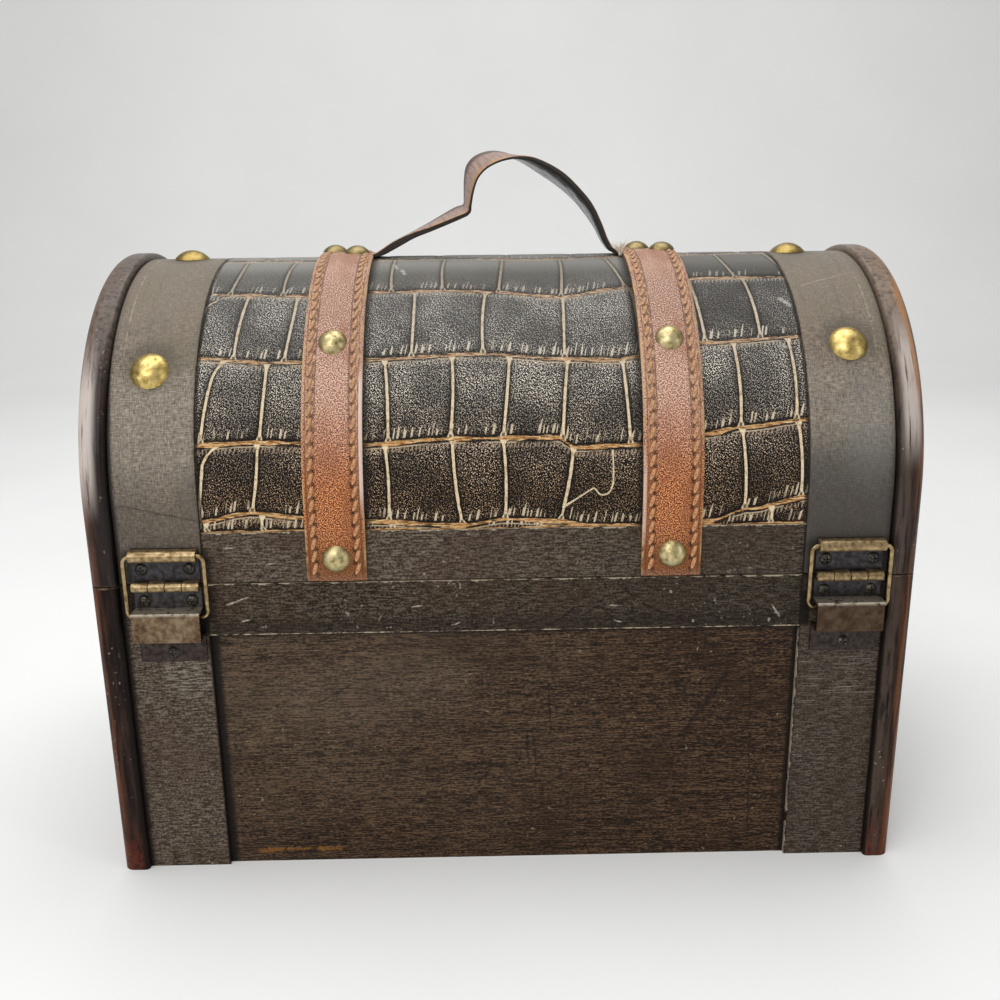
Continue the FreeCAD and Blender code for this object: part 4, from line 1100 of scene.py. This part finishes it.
def carry_strap(outer, under, edge):
    """The folded carry strap: brown face, black back, dark edges, twisted as its edge lines show."""
    near_points, far_points, thicknesses = zip(*CARRY_EDGES)
    near = carry_edge(near_points, -CARRY_HALF)
    far = carry_edge(far_points, CARRY_HALF)
    thick = smooth_run([Vector((thickness * MM, 0, 0)) for thickness in thicknesses], CARRY_STEPS)
    length = 0
    faces, backs, flat = [], [], []
    for k in range(len(near)):
        before, after = max(k - 1, 0), min(k + 1, len(near) - 1)
        ahead = near[after] - near[before] + far[after] - far[before]
        length += (near[k] - near[before]).length
        normal = ahead.cross(near[k] - far[k]).normalized()
        if normal.dot(Vector((-ahead.z, 0, ahead.x))) < 0:
            normal.negate()
        face, back = [], []
        for t in CARRY_FRACTIONS:
            middle = near[k].lerp(far[k], t)
            inset = min(t, 1 - t) * 2 * CARRY_HALF
            rise = normal * (thick[k].x / 2 - rounded(CARRY_DROP, inset, CARRY_REACH))
            face.append(middle + rise)
            back.append(middle - rise)
        faces.append(face)
        backs.append(back)
        flat.append([((t - 0.5) * 2 * CARRY_HALF / MM, length / MM) for t in CARRY_FRACTIONS])
    strap = Builder()
    strap.grid(faces, slot=0, flip=True, flat=flat)
    strap.grid(backs, slot=1, flat=flat)
    for column, flip in ((0, False), (-1, True)):
        rim = [[face[column], face[column].lerp(back[column], 0.5), back[column]]
               for face, back in zip(faces, backs)]
        strap.grid(rim, slot=2, flip=flip, flat=[[row[column]] * 3 for row in flat])
    piece = strap.finish("carry_strap_leather", [outer, under, edge])
    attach(piece, "lid")
    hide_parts("carry_strap")


# Frayed edge of the right strap, where the carry strap goes under it
FRAY_COUNT = 44
FRAY_ROOTS = [(-1.6, 0.4), (-8.5, -3), (0.2, 1.2)]   # ranges across, along and in lift, in millimetres
FRAY_LENGTH = (2.4 * MM, 6.2 * MM)
FRAY_THICK = 0.3 * MM
FRAY_CURL = 0.45


def frayed_edge(material):
    """A small tuft of torn leather fibres that curl up from the strap's inner edge."""
    rng = random.Random("fray")
    edge_x = strap_low.x - 0.2 * MM
    around = [Vector((math.cos(turn), math.sin(turn), 0)) * FRAY_THICK for turn in ring(5)]
    tuft = Builder()
    for _ in range(FRAY_COUNT):
        across, along, lift = (rng.uniform(*reach) * MM for reach in FRAY_ROOTS)
        root = lid_point(edge_x + across, along, lift)
        length = rng.uniform(*FRAY_LENGTH)
        lean = Vector((rng.uniform(-0.75, 0.35), rng.uniform(-0.6, 0.2), 1)).normalized()
        curl = Vector((rng.uniform(-1, 1), rng.uniform(-1, 0.5), rng.uniform(-0.6, 0.2))) * FRAY_CURL
        rows = []
        for t in spread(0, 1, 5):
            middle = root + (lean + curl * t) * length * t
            rows.append([middle + out * (1 - 0.8 * t) for out in around])
        tuft.grid(rows)
    piece = tuft.finish("right_strap_fray", [material])
    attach(piece, "lid")


# Dress the lid
strap_leather = strap_look()
strap_edge = strap_side_look()
thread = thread_look()
linen = linen_look()
for side, sign in (("left", -1), ("right", 1)):
    strap_centre = sign * (strap_low.x + strap_high.x) / 2
    lid_strap(side, strap_centre, strap_leather, strap_edge)
    stitches(side, strap_centre, thread)
    lid_band(side, sign, linen)
embossed_panel(croc_look())
leather_crease(edge_look("crease_tan", (0.44, 0.31, 0.17), (0.84, 0.72, 0.5)))
carry_strap(carry_look(), carry_under_look(),
            edge_look("carry_cut_edge", (0.005, 0.0035, 0.0028), (0.03, 0.019, 0.012)))
frayed_edge(edge_look("frayed_fibre", (0.6, 0.47, 0.33), (0.86, 0.8, 0.7)))

# Dress the CAD nodes
OLIVE = (0.0085, 0.0055, 0.0035), (0.041, 0.0285, 0.0185), (0.112, 0.087, 0.062)
GREY = (0.024, 0.0165, 0.0115), (0.073, 0.0525, 0.0375), (0.165, 0.132, 0.1)
base_rail_worn = [(Z_AXIS, rail_high.z / MM, 0.65), (Z_AXIS, rail_foot + 0.3, 0.28)]
lid_rail_worn = [(Z_AXIS, lid_rail_high.z / MM, 0.8)]
strip_worn = [(X_AXIS, strip_inner, 0.45)]
hinge_sheet = leaf_look()
aged_brass = brass_look("aged_brass", (0.43, 0.32, 0.168), (0.29, 0.205, 0.102),
                        (0.105, 0.068, 0.034), 0.3)
PLAIN, SHEET_EDGE, WOOD_EDGE = 0, 0.18 * MM, 0.4 * MM   # widths of the small bevel on sharp edges
# The first pattern that fits a node's name gives its finish and bevel
FINISHES = [
    ("lid_*_end_board", rim_look("lid_rim_lacquer", 0.14, 0.14), PLAIN),
    ("*_end_board", rim_look("base_rim_lacquer", 0, 0.1), PLAIN),
    ("base_*_board", board_look(), PLAIN),
    ("lid_shell", plywood_look(), PLAIN),
    ("lid_*_rail", strip_look("lid_rail_paint", *GREY, lid_rail_worn), WOOD_EDGE),
    ("base_*_rail", strip_look("base_rail_paint", *OLIVE, base_rail_worn), WOOD_EDGE),
    ("base_*_strip", strip_look("corner_strip_paint", *GREY, strip_worn), WOOD_EDGE),
    ("*strap_stud*", brass_look("small_stud_brass", (0.62, 0.53, 0.3), (0.44, 0.36, 0.17),
                                (0.15, 0.105, 0.042), 0.4), PLAIN),
    ("*band_stud*", brass_look("large_stud_brass", (0.72, 0.56, 0.22), (0.55, 0.4, 0.13),
                               (0.205, 0.14, 0.04), 0.36), PLAIN),
    ("*leaf*", hinge_sheet, SHEET_EDGE),
    ("*_plate", hinge_sheet, SHEET_EDGE),
    ("strip_brads", edge_look("rusted_brad", (0.008, 0.006, 0.005), (0.034, 0.024, 0.017)), PLAIN),
    ("*screws*", screw_look(), PLAIN),
    ("latch_hook", aged_brass, SHEET_EDGE),
    ("*", aged_brass, PLAIN),
]


def soften(node, width):
    """Small bevel on a CAD node's sharp edges."""
    bevel = node.modifiers.new("edge", "BEVEL")
    bevel.width = width
    bevel.segments = 2
    bevel.limit_method = "ANGLE"
    bevel.angle_limit = math.radians(40)


for name, node in nodes.items():
    material, width = next(row[1:] for row in FINISHES if fnmatch(name, row[0]))
    node.data.materials.clear()
    node.data.materials.append(material)
    if width:
        soften(node, width)


# Stage, light and camera
def stage_look():
    look = Look("pale_floor", Specular_IOR_Level=0.2)
    cloud = look.place().noise(0.004, 3)
    look.colour = cloud.shades(0.2, (0.82, 0.825, 0.82), (0.86, 0.865, 0.86))
    return look.finish(cloud.level(0.65, 0.75))


FLOOR_HALF = 3
FLOOR_FRONT = -2
FLOOR_MIDDLE = -0.5
FLOOR_BACK = 0.9
SWEEP_RADIUS = 0.5
WALL_TOP = 2.6


def backdrop():
    """Pale floor that sweeps up into a wall behind the chest."""
    section = [(FLOOR_FRONT, 0)] + [(y, 0) for y in spread(FLOOR_MIDDLE, FLOOR_BACK, 4)]
    for angle in spread(0.1, math.pi / 2, 12):
        rise = SWEEP_RADIUS - SWEEP_RADIUS * math.cos(angle)
        section.append((FLOOR_BACK + SWEEP_RADIUS * math.sin(angle), rise))
    section.append((FLOOR_BACK + SWEEP_RADIUS, WALL_TOP))
    sweep = Builder()
    sweep.grid([[Vector((x, y, z)) for x in spread(-FLOOR_HALF, FLOOR_HALF, 4)] for y, z in section])
    sweep.finish("floor_and_wall", [stage_look()])


# Soft boxes: name, place, what it points at, width and height, power
LIGHTS = [
    ("top_soft", (-0.1, 0.1, 1.25), (0, 0, 0.15), (1.5, 1.1), 13.5),
    ("front_soft", (-0.5, -1.25, 0.95), (0, 0, 0.14), (0.9, 0.9), 8.4),
    ("right_strip", (1.15, -0.75, 0.55), (0, 0, 0.14), (0.12, 1), 2),
    ("left_strip", (-1.2, -0.85, 0.6), (0, 0, 0.14), (0.12, 1), 2),
]
SKY = (1, 0.99, 0.975, 1)
SKY_STRENGTH = 0.34


def area_light(name, place, target, size, power):
    lamp = bpy.data.lights.new(name, "AREA")
    lamp.shape = "RECTANGLE"
    lamp.size, lamp.size_y = size
    lamp.energy = power
    holder = bpy.data.objects.new(name, lamp)
    holder.location = place
    holder.rotation_euler = (Vector(target) - Vector(place)).to_track_quat("-Z", "Y").to_euler()
    bpy.context.scene.collection.objects.link(holder)


def studio():
    world = bpy.data.worlds.new("studio")
    bpy.context.scene.world = world
    world.use_nodes = True
    sky = world.node_tree.nodes["Background"]
    sky.inputs["Color"].default_value = SKY
    sky.inputs["Strength"].default_value = SKY_STRENGTH
    for light in LIGHTS:
        area_light(*light)
    bpy.context.scene.view_settings.view_transform = "Standard"


# Camera worked out from the photograph, with its angles in radians
CAMERA_PLACE = Vector((-0.0063, -0.4573, 0.2588))
CAMERA_DOWN = 0.287
CAMERA_TURN = 0.013
CAMERA_ROLL = 0.012
FOCAL_PIXELS = 1100
PICTURE_PIXELS = 1000
SENSOR_WIDTH = 36
NEAREST = 0.02


def photo_camera():
    forward = Vector((math.sin(CAMERA_TURN), math.cos(CAMERA_TURN), 0))
    level = Vector((math.cos(CAMERA_TURN), -math.sin(CAMERA_TURN), 0))
    ahead = forward * math.cos(CAMERA_DOWN) - Vector((0, 0, math.sin(CAMERA_DOWN)))
    below = ahead.cross(level)
    right = level * math.cos(CAMERA_ROLL) + below * math.sin(CAMERA_ROLL)
    down = below * math.cos(CAMERA_ROLL) - level * math.sin(CAMERA_ROLL)
    lens = bpy.data.cameras.new("photo_camera")
    lens.sensor_width = SENSOR_WIDTH
    lens.lens = SENSOR_WIDTH * FOCAL_PIXELS / PICTURE_PIXELS
    lens.clip_start = NEAREST
    camera = bpy.data.objects.new("photo_camera", lens)
    turn = Matrix((right, -down, -ahead)).transposed().to_4x4()
    camera.matrix_world = Matrix.Translation(CAMERA_PLACE) @ turn
    bpy.context.scene.collection.objects.link(camera)
    bpy.context.scene.camera = camera


backdrop()
studio()
photo_camera()
